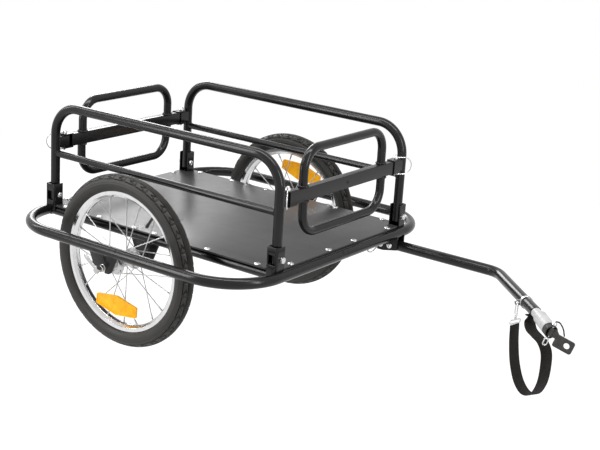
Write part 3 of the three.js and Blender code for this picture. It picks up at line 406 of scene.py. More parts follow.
def box_outline(width, height, corner):
    x, y = width / 2, height / 2
    return rounded([(-x, -y), (x, -y), (x, y), (-x, y)], corner)


def circle_outline(radius, x, y, steps):
    return ring_at(radius, 0, steps)[:, :2] + (x, y)


def plate(outline, thickness, holes=()):
    """A flat plate from z = 0 to its thickness; both faces are triangles that leave the holes open."""
    loops = [np.asarray(loop, dtype=float) for loop in (outline, *holes)]
    flat = np.vstack(loops)
    count = len(flat)
    shell = Shell()
    shell.points = np.column_stack([np.vstack([flat, flat]), np.repeat((0.0, thickness), count)])
    low = np.array(tessellate_polygon([[Vector((x, y, 0)) for x, y in loop] for loop in loops]))
    high = low[:, ::-1]
    shell.faces = [tuple(face) for face in np.vstack([low, high + count]).tolist()]
    shell.uvs = flat[np.vstack([low, high]).ravel()].tolist()
    base = 0
    for loop in loops:
        i = np.arange(len(loop))
        j = (i + 1) % len(loop)
        walls = np.stack([i, j, j + count, i + count], axis=1) + base
        shell.faces.extend(tuple(face) for face in walls.tolist())
        travel = travel_along(loop, wrap=True)
        u = np.stack([travel[i], travel[i + 1], travel[i + 1], travel[i]], axis=1)
        v = np.broadcast_to((0, 0, thickness, thickness), u.shape)
        shell.uvs.extend(np.stack([u, v], axis=2).reshape(-1, 2).tolist())
        base += len(loop)
    return shell


# %% [markdown]
# ## Welds, nuts and screws
#
# A weld is laid down drop by drop, so its bead is a rope whose radius swells once per drop. A nut is
# a hexagon whose corners a cone cuts off. A screw head is a dome with a round recess for its key.
# These small parts repeat over the whole trailer, so each has one function and few faces.

# %% Weld beads, nuts and screw heads
def weld_bead(points, radius, pitch=2.6, lumps=0.16, side_count=10):
    """A rope of weld metal on a closed line: r(s) = radius*(1 + lumps*|sin(pi*s/pitch)|)."""
    points = np.asarray(points, dtype=float)
    travel = travel_along(points, wrap=True)
    count = max(24, int(travel[-1] / (pitch / 5)))
    at = np.linspace(0, travel[-1], count, endpoint=False)
    closed = np.vstack([points, points[:1]])
    line = np.stack([np.interp(at, travel, closed[:, axis]) for axis in range(3)], axis=1)
    radii = radius * (1 + lumps * np.abs(np.sin(math.pi * at / pitch)))
    return Shell().skin(ring_rows(line, radii, side_count, True), wrap=True)


def hexagon(width, height, bore=0.05):
    """A nut along z, where its flat at an angle a lies at (width/2)/cos(a), limited by a cone."""
    steps = 36
    angles = full_turn(steps)
    flat = (width / 2) / np.cos((angles + math.pi / 6) % (math.pi / 3) - math.pi / 6)
    corner = width / 2 / math.cos(math.pi / 6)
    rows = [ring_at(bore, 0, steps)]
    for level, share in ((0, 0.9), (0.12, 0.985), (0.88, 0.985), (1, 0.9)):
        rows.append(ring_at(np.minimum(flat, corner * share), height * level, steps))
    rows.append(ring_at(bore, height, steps))
    return Shell().skin(rows, wrap=True)


def button_head(radius, height, socket=0.0):
    """A domed screw head along z: its dome is r(a) = radius + (socket - radius)*(1 - cos(a))."""
    angles = np.linspace(0, math.pi / 2, 7)[1:]
    reach = radius + (socket - radius) * (1 - np.cos(angles))
    dome = np.column_stack([reach, height * (0.3 + 0.7 * np.sin(angles))]).tolist()
    recess = [(socket, height * 0.45), (0, height * 0.4)] if socket else []
    return turned([(0, 0), (radius, 0), (radius, height * 0.3), *dome, *recess], 32)


def hex_bolt_pair(half_span):
    """A button head at one end of a span along z and a washer, a nut and a bolt's end at the other."""
    nut_height, bolt_radius = 6, 3.4
    tip = half_span + nut_height
    head = button_head(7, 4, 2.6).turn(((1, 0, 0), (0, -1, 0), (0, 0, -1))).move(0, 0, -half_span)
    washer = turned([(3, half_span), (7, half_span), (7, half_span + 1), (3, half_span + 1)], 32, True)
    nut = hexagon(13, nut_height - 1.8).move(0, 0, half_span + 1)
    bolt = turned([(0, 0), (bolt_radius, 0), (bolt_radius, tip - 0.6), (2.8, tip), (0, tip)], 24)
    return Shell().join(head, washer, nut, bolt)


# %% [markdown]
# ## From a shell to a piece
#
# `make_piece` turns a shell into a Blender object. It merges points that fall together, turns the
# faces outwards, rides the piece on the body of the node that it replaces, and prints how many faces
# it has and how many edges are open. A small bevel rounds the edges of sheet metal; elsewhere an
# edge is only marked sharp, which costs nothing.

# %% One piece
MERGE_DISTANCE = 1e-6
BEVEL_SEGMENTS = 2


def new_mesh(name, shell):
    mesh = bpy.data.meshes.new(name)
    mesh.from_pydata((shell.points * MM).tolist(), [], shell.faces)
    layer = mesh.uv_layers.new(name="UVMap")
    layer.data.foreach_set("uv", (np.array(shell.uvs) * MM).ravel())
    work = bmesh.new()
    work.from_mesh(mesh)
    bmesh.ops.remove_doubles(work, verts=work.verts, dist=MERGE_DISTANCE)
    bmesh.ops.recalc_face_normals(work, faces=work.faces)
    open_edges = sum(edge.is_boundary for edge in work.edges)
    work.to_mesh(mesh)
    work.free()
    mesh.polygons.foreach_set("use_smooth", [True] * len(mesh.polygons))
    print(f"{name}: {len(mesh.polygons)} faces, {open_edges} open edges")
    return mesh


def round_edges(piece, width, least_angle=None):
    """Adds a bevel of a width in millimetres, on all edges or on those sharper than an angle."""
    bevel = piece.modifiers.new("rounded edges", "BEVEL")
    bevel.width = width * MM
    bevel.segments = BEVEL_SEGMENTS
    if least_angle is not None:
        bevel.limit_method = "ANGLE"
        bevel.angle_limit = math.radians(least_angle)


def make_piece(name, shell, look, replaces=(), body=None, edge=0.0, sharp=38):
    """Makes a shell an object that rides on its body; edge rounds its edges by that many millimetres."""
    mesh = new_mesh(name, shell)
    mesh.materials.append(look)
    piece = bpy.data.objects.new(name, mesh)
    bpy.context.collection.objects.link(piece)
    if edge:
        round_edges(piece, edge, sharp)
    else:
        mesh.set_sharp_from_angle(angle=math.radians(sharp))
    if replaces:
        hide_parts(*replaces)
    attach(piece, body or BODY_OF[replaces[0]])
    return piece


def dress_node(name, look):
    """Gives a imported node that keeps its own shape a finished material."""
    node = frame["nodes"][name]
    node.data.materials.clear()
    node.data.materials.append(look)
    print(f"{name}: keeps its packed shape")


# %% [markdown]
# ## Surfaces of the materials
#
# A real finish is never one colour and one gloss: paint has orange peel, metal has faint marks, and
# rubber has dust on it. Two small node groups are shared by all materials. `fine_grain` turns noise
# into a bumped normal, and `soft_patches` gives a mask from 0 to 1 that varies gloss and colour over
# a few centimetres. They are groups so that each effect is built once and set anew in each material.

# %% Shared node groups
def new_group(name, inputs, outputs):
    group = bpy.data.node_groups.new(name, "ShaderNodeTree")
    for label, kind, value in inputs:
        group.interface.new_socket(label, in_out="INPUT", socket_type=kind).default_value = value
    for label, kind in outputs:
        group.interface.new_socket(label, in_out="OUTPUT", socket_type=kind)
    return group, group.nodes.new("NodeGroupInput"), group.nodes.new("NodeGroupOutput")


def build_fine_grain():
    group, inputs, outputs = new_group(
        "fine_grain",
        [("Scale", "NodeSocketFloat", 900), ("Depth", "NodeSocketFloat", 0.00003)],
        [("Normal", "NodeSocketVector")])
    place = group.nodes.new("ShaderNodeTexCoord")
    noise = group.nodes.new("ShaderNodeTexNoise")
    noise.inputs["Detail"].default_value = 3
    bump = group.nodes.new("ShaderNodeBump")
    group.links.new(place.outputs["Object"], noise.inputs["Vector"])
    group.links.new(inputs.outputs["Scale"], noise.inputs["Scale"])
    group.links.new(noise.outputs["Fac"], bump.inputs["Height"])
    group.links.new(inputs.outputs["Depth"], bump.inputs["Distance"])
    group.links.new(bump.outputs["Normal"], outputs.inputs["Normal"])
    return group


def build_soft_patches():
    group, inputs, outputs = new_group(
        "soft_patches", [("Scale", "NodeSocketFloat", 25)], [("Mask", "NodeSocketFloat")])
    place = group.nodes.new("ShaderNodeTexCoord")
    noise = group.nodes.new("ShaderNodeTexNoise")
    noise.inputs["Detail"].default_value = 5
    noise.inputs["Roughness"].default_value = 0.62
    spread = group.nodes.new("ShaderNodeMapRange")
    spread.inputs["From Min"].default_value = 0.34
    spread.inputs["From Max"].default_value = 0.68
    group.links.new(place.outputs["Object"], noise.inputs["Vector"])
    group.links.new(inputs.outputs["Scale"], noise.inputs["Scale"])
    group.links.new(noise.outputs["Fac"], spread.inputs["Value"])
    group.links.new(spread.outputs["Result"], outputs.inputs["Mask"])
    return group


FINE_GRAIN = build_fine_grain()
SOFT_PATCHES = build_soft_patches()
print(f"node groups: {FINE_GRAIN.name}, {SOFT_PATCHES.name}")

# %% [markdown]
# Each material starts from `worked_material`: a shader whose colour and roughness move between two
# values over the soft patches and whose normal carries the fine grain. A finish that needs a pattern
# of its own leaves out the colours or the grain and links its pattern there. What is the same all
# over, such as how metallic it is, is set on the shader's own socket.

# %% A material under construction
class Look:
    """A material under construction, with short ways to add and join nodes."""

    def __init__(self, name, **constants):
        self.material = bpy.data.materials.new(name)
        self.material.use_nodes = True
        self.tree = self.material.node_tree
        self.shader = self.tree.nodes["Principled BSDF"]
        for label, value in constants.items():
            self.shader.inputs[label.replace("_", " ")].default_value = value

    def add(self, kind, **settings):
        node = self.tree.nodes.new(kind)
        for label, value in settings.items():
            setattr(node, label, value)
        return node

    def link(self, output, socket):
        self.tree.links.new(output, socket)

    def group(self, tree, **values):
        node = self.add("ShaderNodeGroup", node_tree=tree)
        for label, value in values.items():
            node.inputs[label].default_value = value
        return node

    def math(self, operation, *values):
        node = self.add("ShaderNodeMath", operation=operation)
        for socket, value in zip(node.inputs, values):
            if isinstance(value, (int, float)):
                socket.default_value = value
            else:
                self.link(value, socket)
        return node.outputs[0]

    def blend(self, mask, low, high, label):
        """Moves a shader socket from low to high, numbers or colours, as the mask goes from 0 to 1."""
        if isinstance(low, (int, float)):
            node = self.add("ShaderNodeMapRange")
            node.inputs["To Min"].default_value = low
            node.inputs["To Max"].default_value = high
            self.link(mask, node.inputs["Value"])
        else:
            node = self.add("ShaderNodeMix", data_type="RGBA")
            node.inputs["A"].default_value = (*low, 1)
            node.inputs["B"].default_value = (*high, 1)
            self.link(mask, node.inputs["Factor"])
        self.link(node.outputs["Result"], self.shader.inputs[label])

    def bump(self, height, distance):
        node = self.add("ShaderNodeBump")
        node.inputs["Distance"].default_value = distance
        self.link(height, node.inputs["Height"])
        self.link(node.outputs["Normal"], self.shader.inputs["Normal"])


def worked_material(name, colours, roughness, grain, patches=25, **constants):
    """Colours and roughness are pairs, and grain is a noise scale and a depth in metres."""
    look = Look(name, **constants)
    mask = look.group(SOFT_PATCHES, Scale=patches).outputs["Mask"]
    if colours:
        look.blend(mask, *colours, "Base Color")
    look.blend(mask, *roughness, "Roughness")
    if grain:
        scale, depth = grain
        surface = look.group(FINE_GRAIN, Scale=scale, Depth=depth)
        look.link(surface.outputs["Normal"], look.shader.inputs["Normal"])
    print(f"{name}: roughness {roughness[0]} to {roughness[1]}")
    return look


# %% [markdown]
# ### Black powder coat
#
# The frame, rails, gates and towbar are powder coated. The powder melts in an oven, so it runs round
# every edge and keeps a faint orange peel, a few millimetres from hill to hill. Finer grain would
# look like sand on a tube this glossy, so the noise is wide and hardly a hundredth of a millimetre
# deep. The colour is black with a little warmth, and the gloss is satin.

# %% Black powder coat
BLACK = worked_material(
    "black_powder_coat", ((0.0050, 0.0047, 0.0046), (0.0085, 0.0080, 0.0078)),
    (0.20, 0.25), (150, 0.00001), Specular_IOR_Level=0.3).material

# %% [markdown]
# ### Deck facing
#
# The deck is a dark grey board whose colour has long faint lighter and darker streaks that run
# along the trailer. An image could carry them, but noise that is stretched by a Mapping node gives
# streaks of any length without repeating. The stretched noise drives the colour, and the fine
# grain dulls the sheen.

# %% Deck facing
STREAK_STRETCH = (3, 160, 1)


def deck_facing():
    look = worked_material("deck_facing", None, (0.27, 0.37), (1400, 0.00003), patches=9,
                           Specular_IOR_Level=0.38)
    place = look.add("ShaderNodeTexCoord")
    stretch = look.add("ShaderNodeMapping")
    stretch.inputs["Scale"].default_value = STREAK_STRETCH
    streaks = look.add("ShaderNodeTexNoise")
    streaks.inputs["Scale"].default_value = 1
    streaks.inputs["Detail"].default_value = 6
    look.link(place.outputs["Object"], stretch.inputs["Vector"])
    look.link(stretch.outputs["Vector"], streaks.inputs["Vector"])
    look.blend(streaks.outputs["Fac"], (0.020, 0.020, 0.0205), (0.046, 0.046, 0.0465), "Base Color")
    return look.material


DECK = deck_facing()

# %% [markdown]
# ### Bright metals
#
# Four metals are bright, and they differ in how sharply they mirror the room. Screws, pins and the
# hook are zinc plated. The rims are polished alloy, the sharpest. Hubs, spokes and levers are drawn
# or turned steel, greyer and duller. The hitch sleeve only has silver paint: its metal flake lies in
# a clear binder, so it scatters light like a pale grey with a trace of metal.

# %% Bright metals
ZINC = worked_material(
    "bright_zinc_plate", ((0.58, 0.58, 0.59), (0.68, 0.68, 0.67)),
    (0.20, 0.30), (1800, 0.000004), patches=160, Metallic=1.0).material
ALLOY = worked_material(
    "polished_alloy", ((0.60, 0.60, 0.605), (0.68, 0.68, 0.68)),
    (0.13, 0.20), (2200, 0.000001), patches=60, Metallic=1.0).material
SPOKES = worked_material(
    "drawn_steel", ((0.44, 0.44, 0.44), (0.52, 0.52, 0.52)),
    (0.26, 0.36), (2200, 0.000001), patches=60, Metallic=1.0).material
SILVER = worked_material(
    "silver_paint", ((0.46, 0.46, 0.46), (0.56, 0.56, 0.555)),
    (0.40, 0.52), (2600, 0.00001), patches=90, Metallic=0.2).material

# %% [markdown]
# ### Dark steel, rubber and hollows
#
# The hitch plate is hardened and phosphated, so it is dark but still partly a metal. The tyres are
# rubber, almost black, with a grey bloom of dust in their patches, and the hitch's bush is moulded
# rubber without the dust. The inside of a drilled tube sends hardly any light back, so a hole in a
# tube's wall is a dish painted nearly pure black: painted shade in place of a cut hole.

# %% Dark steel, rubber and hollows
STEEL = worked_material(
    "phosphate_steel", ((0.036, 0.034, 0.032), (0.058, 0.055, 0.052)),
    (0.36, 0.52), (1600, 0.00003), patches=110, Metallic=0.55).material
TYRE = worked_material(
    "tyre_rubber", ((0.011, 0.0103, 0.0092), (0.025, 0.0235, 0.0205)),
    (0.44, 0.58), (1500, 0.00003), patches=30, Specular_IOR_Level=0.42).material
RUBBER = worked_material(
    "moulded_rubber", ((0.010, 0.010, 0.010), (0.018, 0.018, 0.018)),
    (0.45, 0.6), (1300, 0.00003), patches=120).material
# Painted shade: a near-black colour that stands for the dark inside of a hole.
PAINTED_HOLE_SHADE = worked_material(
    "shaded_hollow", ((0.0012, 0.0012, 0.0012), (0.003, 0.003, 0.003)),
    (0.85, 0.95), (900, 0.00001)).material

# %% [markdown]
# ### Amber lens with a painted glow
#
# A reflector is clear amber plastic over rows of small prisms that throw light back where it came
# from. Real prisms would need thousands of faces and very many light bounces. A grid of cones from a
# Voronoi texture without randomness stands for them in the bump, and a weak emission, a painted
# glow, stands for the light that they return.

# %% Amber lens
PRISM_SCALE = 330
PRISM_DEPTH = 0.0008


def amber_lens_painted_glow():
    look = worked_material("amber_lens_painted_glow", ((0.80, 0.34, 0.001), (1.0, 0.50, 0.004)),
                           (0.25, 0.35), None, patches=60, Specular_IOR_Level=0.25)
    # Painted light: the lens glows with its own amber emission though it is no lamp.
    look.shader.inputs["Emission Color"].default_value = (1.0, 0.42, 0.001, 1)
    look.shader.inputs["Emission Strength"].default_value = 0.27
    place = look.add("ShaderNodeTexCoord")
    cells = look.add("ShaderNodeTexVoronoi")
    cells.inputs["Scale"].default_value = PRISM_SCALE
    cells.inputs["Randomness"].default_value = 0
    look.link(place.outputs["Object"], cells.inputs["Vector"])
    look.bump(cells.outputs["Distance"], PRISM_DEPTH)
    return look.material


AMBER = amber_lens_painted_glow()

# %% [markdown]
# ### Woven webbing
#
# The strap is woven from flat threads. Its surface coordinates run across and along the band in
# metres, so |sin(u)| * |sin(v)| gives one hump per crossing of threads, and it follows the band
# wherever it bends. The humps drive both the bump and the colour: the gaps between threads are
# painted dark, as painted shade where the threads would shade them.

# %% Woven webbing
WEAVE_ACROSS = 2100
WEAVE_ALONG = 1500
WEAVE_DEPTH = 0.0005


def woven_web_gap_shaded():
    look = worked_material("woven_web_gap_shaded", None, (0.7, 0.85), None, patches=70,
                           Sheen_Weight=0.03, Specular_IOR_Level=0.2)
    place = look.add("ShaderNodeTexCoord")
    parts = look.add("ShaderNodeSeparateXYZ")
    look.link(place.outputs["UV"], parts.inputs["Vector"])
    waves = [
        look.math("ABSOLUTE", look.math("SINE", look.math("MULTIPLY", parts.outputs[axis], scale)))
        for axis, scale in (("X", WEAVE_ACROSS), ("Y", WEAVE_ALONG))
    ]
    weave_and_gap_shade = look.math("MULTIPLY", *waves)
    look.bump(weave_and_gap_shade, WEAVE_DEPTH)
    # Painted shade: the colour darkens in the gaps between threads.
    look.blend(weave_and_gap_shade, (0.006, 0.0046, 0.0042), (0.018, 0.0145, 0.013), "Base Color")
    return look.material


WEB = woven_web_gap_shaded()

# %% [markdown]
# ## Where the towbar and the hitch stand
#
# The cords are made before the other pieces, because nothing rigid says how far they may spread.
# They hang on the towbar's front stretch and on the hitch, so those two get their axes first. The
# towbar runs straight ahead and then slants in to the bicycle; that slanted stretch is called the
# crank here.

# %% The crank's axis
TOWBAR_RADIUS = 12.5
TOWBAR_Y = 219.5
TOWBAR_Z = HOOP_Z - 28.3
TOWBAR_CORNER_X = 625
TOWBAR_CRANK = math.radians(43.5)
TOWBAR_CRANK_LENGTH = 256
CRANK = spot(math.cos(TOWBAR_CRANK), -math.sin(TOWBAR_CRANK), 0)
CRANK_ACROSS = spot(math.sin(TOWBAR_CRANK), math.cos(TOWBAR_CRANK), 0)
CRANK_AXES = (CRANK_ACROSS, (0, 0, 1), CRANK)


def crank_place(distance):
    """A place on the crank's axis, measured from the end of the towbar's tube."""
    return spot(TOWBAR_CORNER_X, TOWBAR_Y, TOWBAR_Z) + CRANK * (TOWBAR_CRANK_LENGTH + distance)


print(f"the towbar ends at {crank_place(0).round(1).tolist()} mm")

# %% [markdown]
# Beyond the towbar's end the hitch droops a little and is rolled about its length, as it came to
# rest for the photograph. So it has axes of its own, worked out once: wide, normal and forward. The
# hitch plate's axes are the same, turned about the hitch pin by the plate's tilt.

# %% The hitch's axes
NECK_LENGTH = 17
SLEEVE_LENGTH = 62
HITCH_PIN_Z = 12
HITCH_DROOP = math.radians(5)
HITCH_ROLL = math.radians(71)
TONGUE_TILT = math.radians(55)


def hitch_axes():
    """The hitch's wide, normal and forward axes: drooped below the crank and rolled about its length."""
    forward = CRANK * math.cos(HITCH_DROOP) - spot(0, 0, math.sin(HITCH_DROOP))
    rise = np.cross(forward, CRANK_ACROSS)
    wide = CRANK_ACROSS * math.cos(HITCH_ROLL) + rise * math.sin(HITCH_ROLL)
    return np.array([wide, np.cross(forward, wide), forward])


HITCH_AXES = hitch_axes()


def hitch_place(distance):
    """A place on the hitch's axis, measured from the end of the towbar's tube."""
    return crank_place(NECK_LENGTH) + HITCH_AXES[2] * (distance - NECK_LENGTH)


def tongue_axes():
    """The hitch's axes turned about the pin by the tongue's tilt."""
    wide, normal, forward = HITCH_AXES
    return np.array([wide, normal * math.cos(TONGUE_TILT) + forward * math.sin(TONGUE_TILT),
                     forward * math.cos(TONGUE_TILT) - normal * math.sin(TONGUE_TILT)])


TONGUE_AXES = tongue_axes()
PIN_CENTRE = hitch_place(NECK_LENGTH + SLEEVE_LENGTH + FIT + HITCH_PIN_Z)
print(f"the hitch pin stands at {PIN_CENTRE.round(1).tolist()} mm")

# %% [markdown]
# The safety strap keeps the trailer on the bicycle if the hitch fails. It hangs from a snap hook, and
# the hook hangs by its own weight in the ear of a band clamp. Its height there follows from the
# radius of the ear's hole and the wire's.

# %% Where the hook hangs
CLAMP_PLACE = -60
BAND_THICKNESS = 2
BAND_OUTER = TOWBAR_RADIUS + FIT + BAND_THICKNESS
EAR_EYE = BAND_OUTER + 6
EAR_HOLE_RADIUS = 3.6
HOOK_WIRE = 1.6
HOOK_SEAT = EAR_HOLE_RADIUS * math.cos(math.pi / 10) - HOOK_WIRE - FIT


def hook_place():
    """Where the clamp's ear has its eye, at the height where a wire hangs in it."""
    return crank_place(CLAMP_PLACE) - CRANK_ACROSS * EAR_EYE - spot(0, 0, HOOK_SEAT)


print(f"the hook hangs {HOOK_SEAT:.2f} mm under its hole's middle")

# %% [markdown]
# ## Cords
#
# The strap is flat webbing, 27 mm wide. It hangs from the hook's slide, loops down and forward and
# comes up to the towbar's end. A cloth simulation could hang it, but it would never stop in just this
# loop. So its middle line is a smooth curve through places that were measured on the photograph: a
# centripetal Catmull-Rom curve, which passes through its points without overshooting.

# %% A smooth curve through points
def through_points(points, per_span=14):
    """A centripetal Catmull-Rom curve: spans are weighted by the square root of their chords."""
    points = np.asarray(points, dtype=float)
    padded = np.vstack([2 * points[0] - points[1], points, 2 * points[-1] - points[-2]])
    t = np.arange(per_span)[:, None] / per_span
    line = []
    for p0, p1, p2, p3 in zip(padded, padded[1:], padded[2:], padded[3:]):
        d0, d1, d2 = (math.sqrt(np.linalg.norm(q - p)) for p, q in ((p0, p1), (p1, p2), (p2, p3)))
        leave = ((p1 - p0) / d0 - (p2 - p0) / (d0 + d1) + (p2 - p1) / d1) * d1
        arrive = ((p2 - p1) / d1 - (p3 - p1) / (d1 + d2) + (p3 - p2) / d2) * d1
        line.append(p1 * (2 * t**3 - 3 * t**2 + 1) + leave * (t**3 - 2 * t**2 + t)
                    + p2 * (3 * t**2 - 2 * t**3) + arrive * (t**3 - t**2))
    return np.vstack([*line, points[-1:]])


print(f"a curve through four points: {len(through_points(np.eye(4)[:, :3]))} points")

# %% [markdown]
# The strap's section is a thin box with round edges. At each point of the line it is laid across the
# band's own direction, which turns from the slide's to the towbar's over the first half of the line.

# %% Safety strap
HOOK_SLIDE_MIDDLE = 42
STRAP_TOP_ACROSS = unit(spot(0.31, 0.95, 0))
STRAP_WIDTH = 27
STRAP_THICKNESS = 2.2
STRAP_LOW_ACROSS = unit(spot(0.555, 0.832, 0))
STRAP_BELOW_SLIDE = 5.5 + 4 * FIT
STRAP_DROPS = (
    (755, 71, 120), (766, 65, 165), (785, 55, 198), (811, 39, 210), (838, 23, 199), (858, 10, 164),
    (864, 5, 120), (861, 6, 93), (848, 13, 77), (828, 24, 71), (808, 36, 65), (799, 46, 55),
)
STRAP_END_PLACES = (-12, -26)


def strap_line():
    """From the slide through each (x, y, depth under the hoop) to two places under the towbar's end."""
    start = hook_place() - spot(0, 0, HOOK_SLIDE_MIDDLE + STRAP_BELOW_SLIDE)
    under = spot(0, 0, -TOWBAR_RADIUS - 2 * FIT - STRAP_THICKNESS / 2)
    drops = [spot(x, y, HOOP_Z - depth) for x, y, depth in STRAP_DROPS]
    return through_points([start, *drops, *(crank_place(place) + under for place in STRAP_END_PLACES)])


def make_strap():
    """p(t, a) = line(t) + section_x(a)*flat(t) + section_y(a)*up(t)."""
    line = strap_line()
    tangents = carried_frames(line)[0]
    share = np.minimum(1, 2 * np.linspace(0, 1, len(line)))[:, None]
    across = unit(STRAP_TOP_ACROSS + (STRAP_LOW_ACROSS - STRAP_TOP_ACROSS) * share)
    ups = unit(np.cross(tangents, across))
    flats = np.cross(ups, tangents)
    section = box_outline(STRAP_WIDTH, STRAP_THICKNESS, 0.9)
    rows = line[:, None] + section[:, :1] * flats[:, None] + section[:, 1:] * ups[:, None]
    shell = Shell().skin(rows)
    shell.face(rows[0]).face(rows[-1][::-1])
    strap = make_piece("safety_strap_webbing", shell, WEB, ["safety_strap"], sharp=50)


make_strap()

# %% [markdown]
# A short cord ties the hitch pin's head to the edge of the hitch plate, so that the pin can't get
# lost. It is twisted from two strands. Each strand winds round the cord's middle line at a quarter of
# the cord's thickness, half a turn from the other.

# %% Pin tether
TETHER_THICKNESS = 3.4
TETHER_PITCH = 5.5
TETHER_REACH = 29
STRAND_OFFSET = 0.24
STRAND_RADIUS = 0.26
BUSH_RADIUS = 14.5
TONGUE_OFFSET = -11.5
TONGUE_WIDTH = 27


def tether_line():
    head_x = BUSH_RADIUS + 2 * FIT + 6 + TETHER_THICKNESS / 2
    edge_x = TONGUE_OFFSET + TONGUE_WIDTH / 2 + FIT + TETHER_THICKNESS / 2
    line = through_points([
        (head_x, 0, 0), (head_x + 2, 0, TETHER_REACH / 4),
        ((head_x + edge_x) / 2 + 4, 0, TETHER_REACH / 1.5), (edge_x, 0, TETHER_REACH)], 24)
    return line @ TONGUE_AXES + PIN_CENTRE


def make_tether():
    """Two strands wound round one line: each is offset by r*(cos(w*s), sin(w*s)) across it."""
    line = tether_line()
    sides, ups = carried_frames(line)[1:]
    shell = Shell()
    for start in (0, math.pi):
        angle = (travel_along(line) / TETHER_PITCH * 2 * math.pi + start)[:, None]
        offset = TETHER_THICKNESS * STRAND_OFFSET * (sides * np.cos(angle) + ups * np.sin(angle))
        shell.join(wire(line + offset, TETHER_THICKNESS * STRAND_RADIUS, 12))
    tether = make_piece("pin_tether_cord", shell, WEB, ["pin_tether"])


make_tether()

# %% [markdown]
# ## The frame under the deck
#
# The outer hoop is a bumper that runs all round the trailer and carries the wheels' outer plates. It
# is two bent halves of 25 mm tube that meet at the middle of both crossbars, over a short sleeve.
# Each half is one tube carried along a line with two arcs. The sleeves are hidden inside, so they
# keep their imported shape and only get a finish.

# %% Hoop
HOOP_RADIUS = 12.5
HOOP_HALF_LENGTH = 348
HOOP_HALF_WIDTH = 375
HOOP_BEND = 130


def make_hoop():
    for name, side in SIDES:
        x, y, seam = HOOP_HALF_LENGTH, side * HOOP_HALF_WIDTH, side * FIT / 2
        line = bent_route([(-x, seam, HOOP_Z), (-x, y, HOOP_Z), (x, y, HOOP_Z), (x, seam, HOOP_Z)],
                          HOOP_BEND)
        make_piece(f"bent_hoop_tube_{name}", tube(line, HOOP_RADIUS, THIN_WALL, 44), BLACK,
                   [f"hoop_half_{name}"])
    for name, _ in ENDS:
        dress_node(f"hoop_splice_{name}", ZINC)


make_hoop()

# %% [markdown]
# The hoop has small screw holes: one beside its front joint and one over the right wheel. Cutting
# them out of the tube with a Boolean would spoil its even rows of faces. A hole this small only
# shows as a dark spot with a bright rim, so a shallow dish on the tube's surface, painted near
# black as painted shade, stands for it.

# %% Screw holes in the hoop
HOLE_RISE = math.radians(42)
JOINT_HOLE_Y = -17
WHEEL_HOLE_X = 6


def hole_shade_dish(radius):
    """A small hole in a tube's wall, seen along z: a shallow dish with a rounded rim, for painted shade."""
    return turned([(0, 0), (radius, 0), (radius - 0.1, 0.12), (radius - 0.6, 0.2), (radius - 1, 0.12),
                   (0, 0.1)], 28)


def make_hoop_holes():
    shell = Shell()
    for middle, outward in ((spot(HOOP_HALF_LENGTH, JOINT_HOLE_Y, HOOP_Z), spot(1, 0, 0)),
                            (spot(WHEEL_HOLE_X, -HOOP_HALF_WIDTH, HOOP_Z), spot(0, -1, 0))):
        facing = outward * math.cos(HOLE_RISE) + spot(0, 0, math.sin(HOLE_RISE))
        side = np.cross(spot(0, 0, 1), outward)
        hole = hole_shade_dish(3.2)
        shell.join(hole.turn((side, np.cross(facing, side), facing), middle + facing * HOOP_RADIUS))
    # The dishes' near-black colour is painted shade for the holes.
    make_piece("hoop_screw_hole_shades", shell, PAINTED_HOLE_SHADE, body="frame")


make_hoop_holes()

# %% [markdown]
# Two side tubes of 22 mm run between the hoop's crossbars and carry the deck's long edges. Their
# ends are coped: each line of the wall stops on the crossbar's surface, at x = L - sqrt(R^2 - z^2).
# The weld follows the same curve, which is why its bead wanders in and out round the tube. One more
# tube crosses under the deck above the axle.

# %% Side tubes and cross tube
SIDE_TUBE_RADIUS = 11
SIDE_TUBE_Y = 240
WHEEL_X = -37
SIDE_WELD_RADIUS = 1.9


def saddle(radius, target, end):
    """The closed curve where a tube along z meets a wider tube that crosses it along x."""
    curve = ring_at(radius)
    curve[:, 2] = end - reach_of(target, curve[:, 1])
    return curve


def make_side_tubes():
    for name, side in SIDES:
        shell = coped_tube(SIDE_TUBE_RADIUS, THIN_WALL,
                           lambda x, y: HOOP_HALF_LENGTH - reach_of(HOOP_RADIUS + FIT, y))
        place = (0, side * SIDE_TUBE_Y, HOOP_Z)
        make_piece(f"long_side_tube_{name}", shell.turn(ALONG_X, place), BLACK, [f"side_tube_{name}"])
        bead = weld_bead(saddle(SIDE_TUBE_RADIUS, HOOP_RADIUS, HOOP_HALF_LENGTH), SIDE_WELD_RADIUS)
        weld = Shell().join(bead).mirror(z=-1).join(bead)
        make_piece(f"side_tube_welds_{name}", weld.turn(ALONG_X, place), BLACK, body="frame")


def make_cross_tube():
    shell = coped_tube(SIDE_TUBE_RADIUS, THIN_WALL,
                       lambda x, y: SIDE_TUBE_Y - reach_of(SIDE_TUBE_RADIUS + FIT, x))
    make_piece("deck_cross_bearer", shell.turn(ALONG_Y, (WHEEL_X, 0, HOOP_Z)), BLACK,
               ["deck_cross_tube"])


make_side_tubes()
make_cross_tube()

# %% [markdown]
# ## The deck
#
# The deck is one flat board with a notch at each corner bracket. It is an outline with a
# thickness, and a small bevel softens its edge, because a cut board never has a razor's edge. Zinc
# plated screws hold it to the crossbars and the side tubes. They are far apart and all alike, so one
# piece holds them all.

# %% Deck and its screws
DECK_THICKNESS = 4
DECK_HALF_LENGTH = 346
DECK_HALF_WIDTH = 252
NOTCH_X = 318.4
NOTCH_Y = 226.1
CROSSBAR_SCREWS_X = 339
CROSSBAR_SCREWS_Y = (-191, -50, 50, 191)
SIDE_SCREWS_X = (290, 150, -5, -68, -180, -290)
SIDE_SCREWS_Y = 245


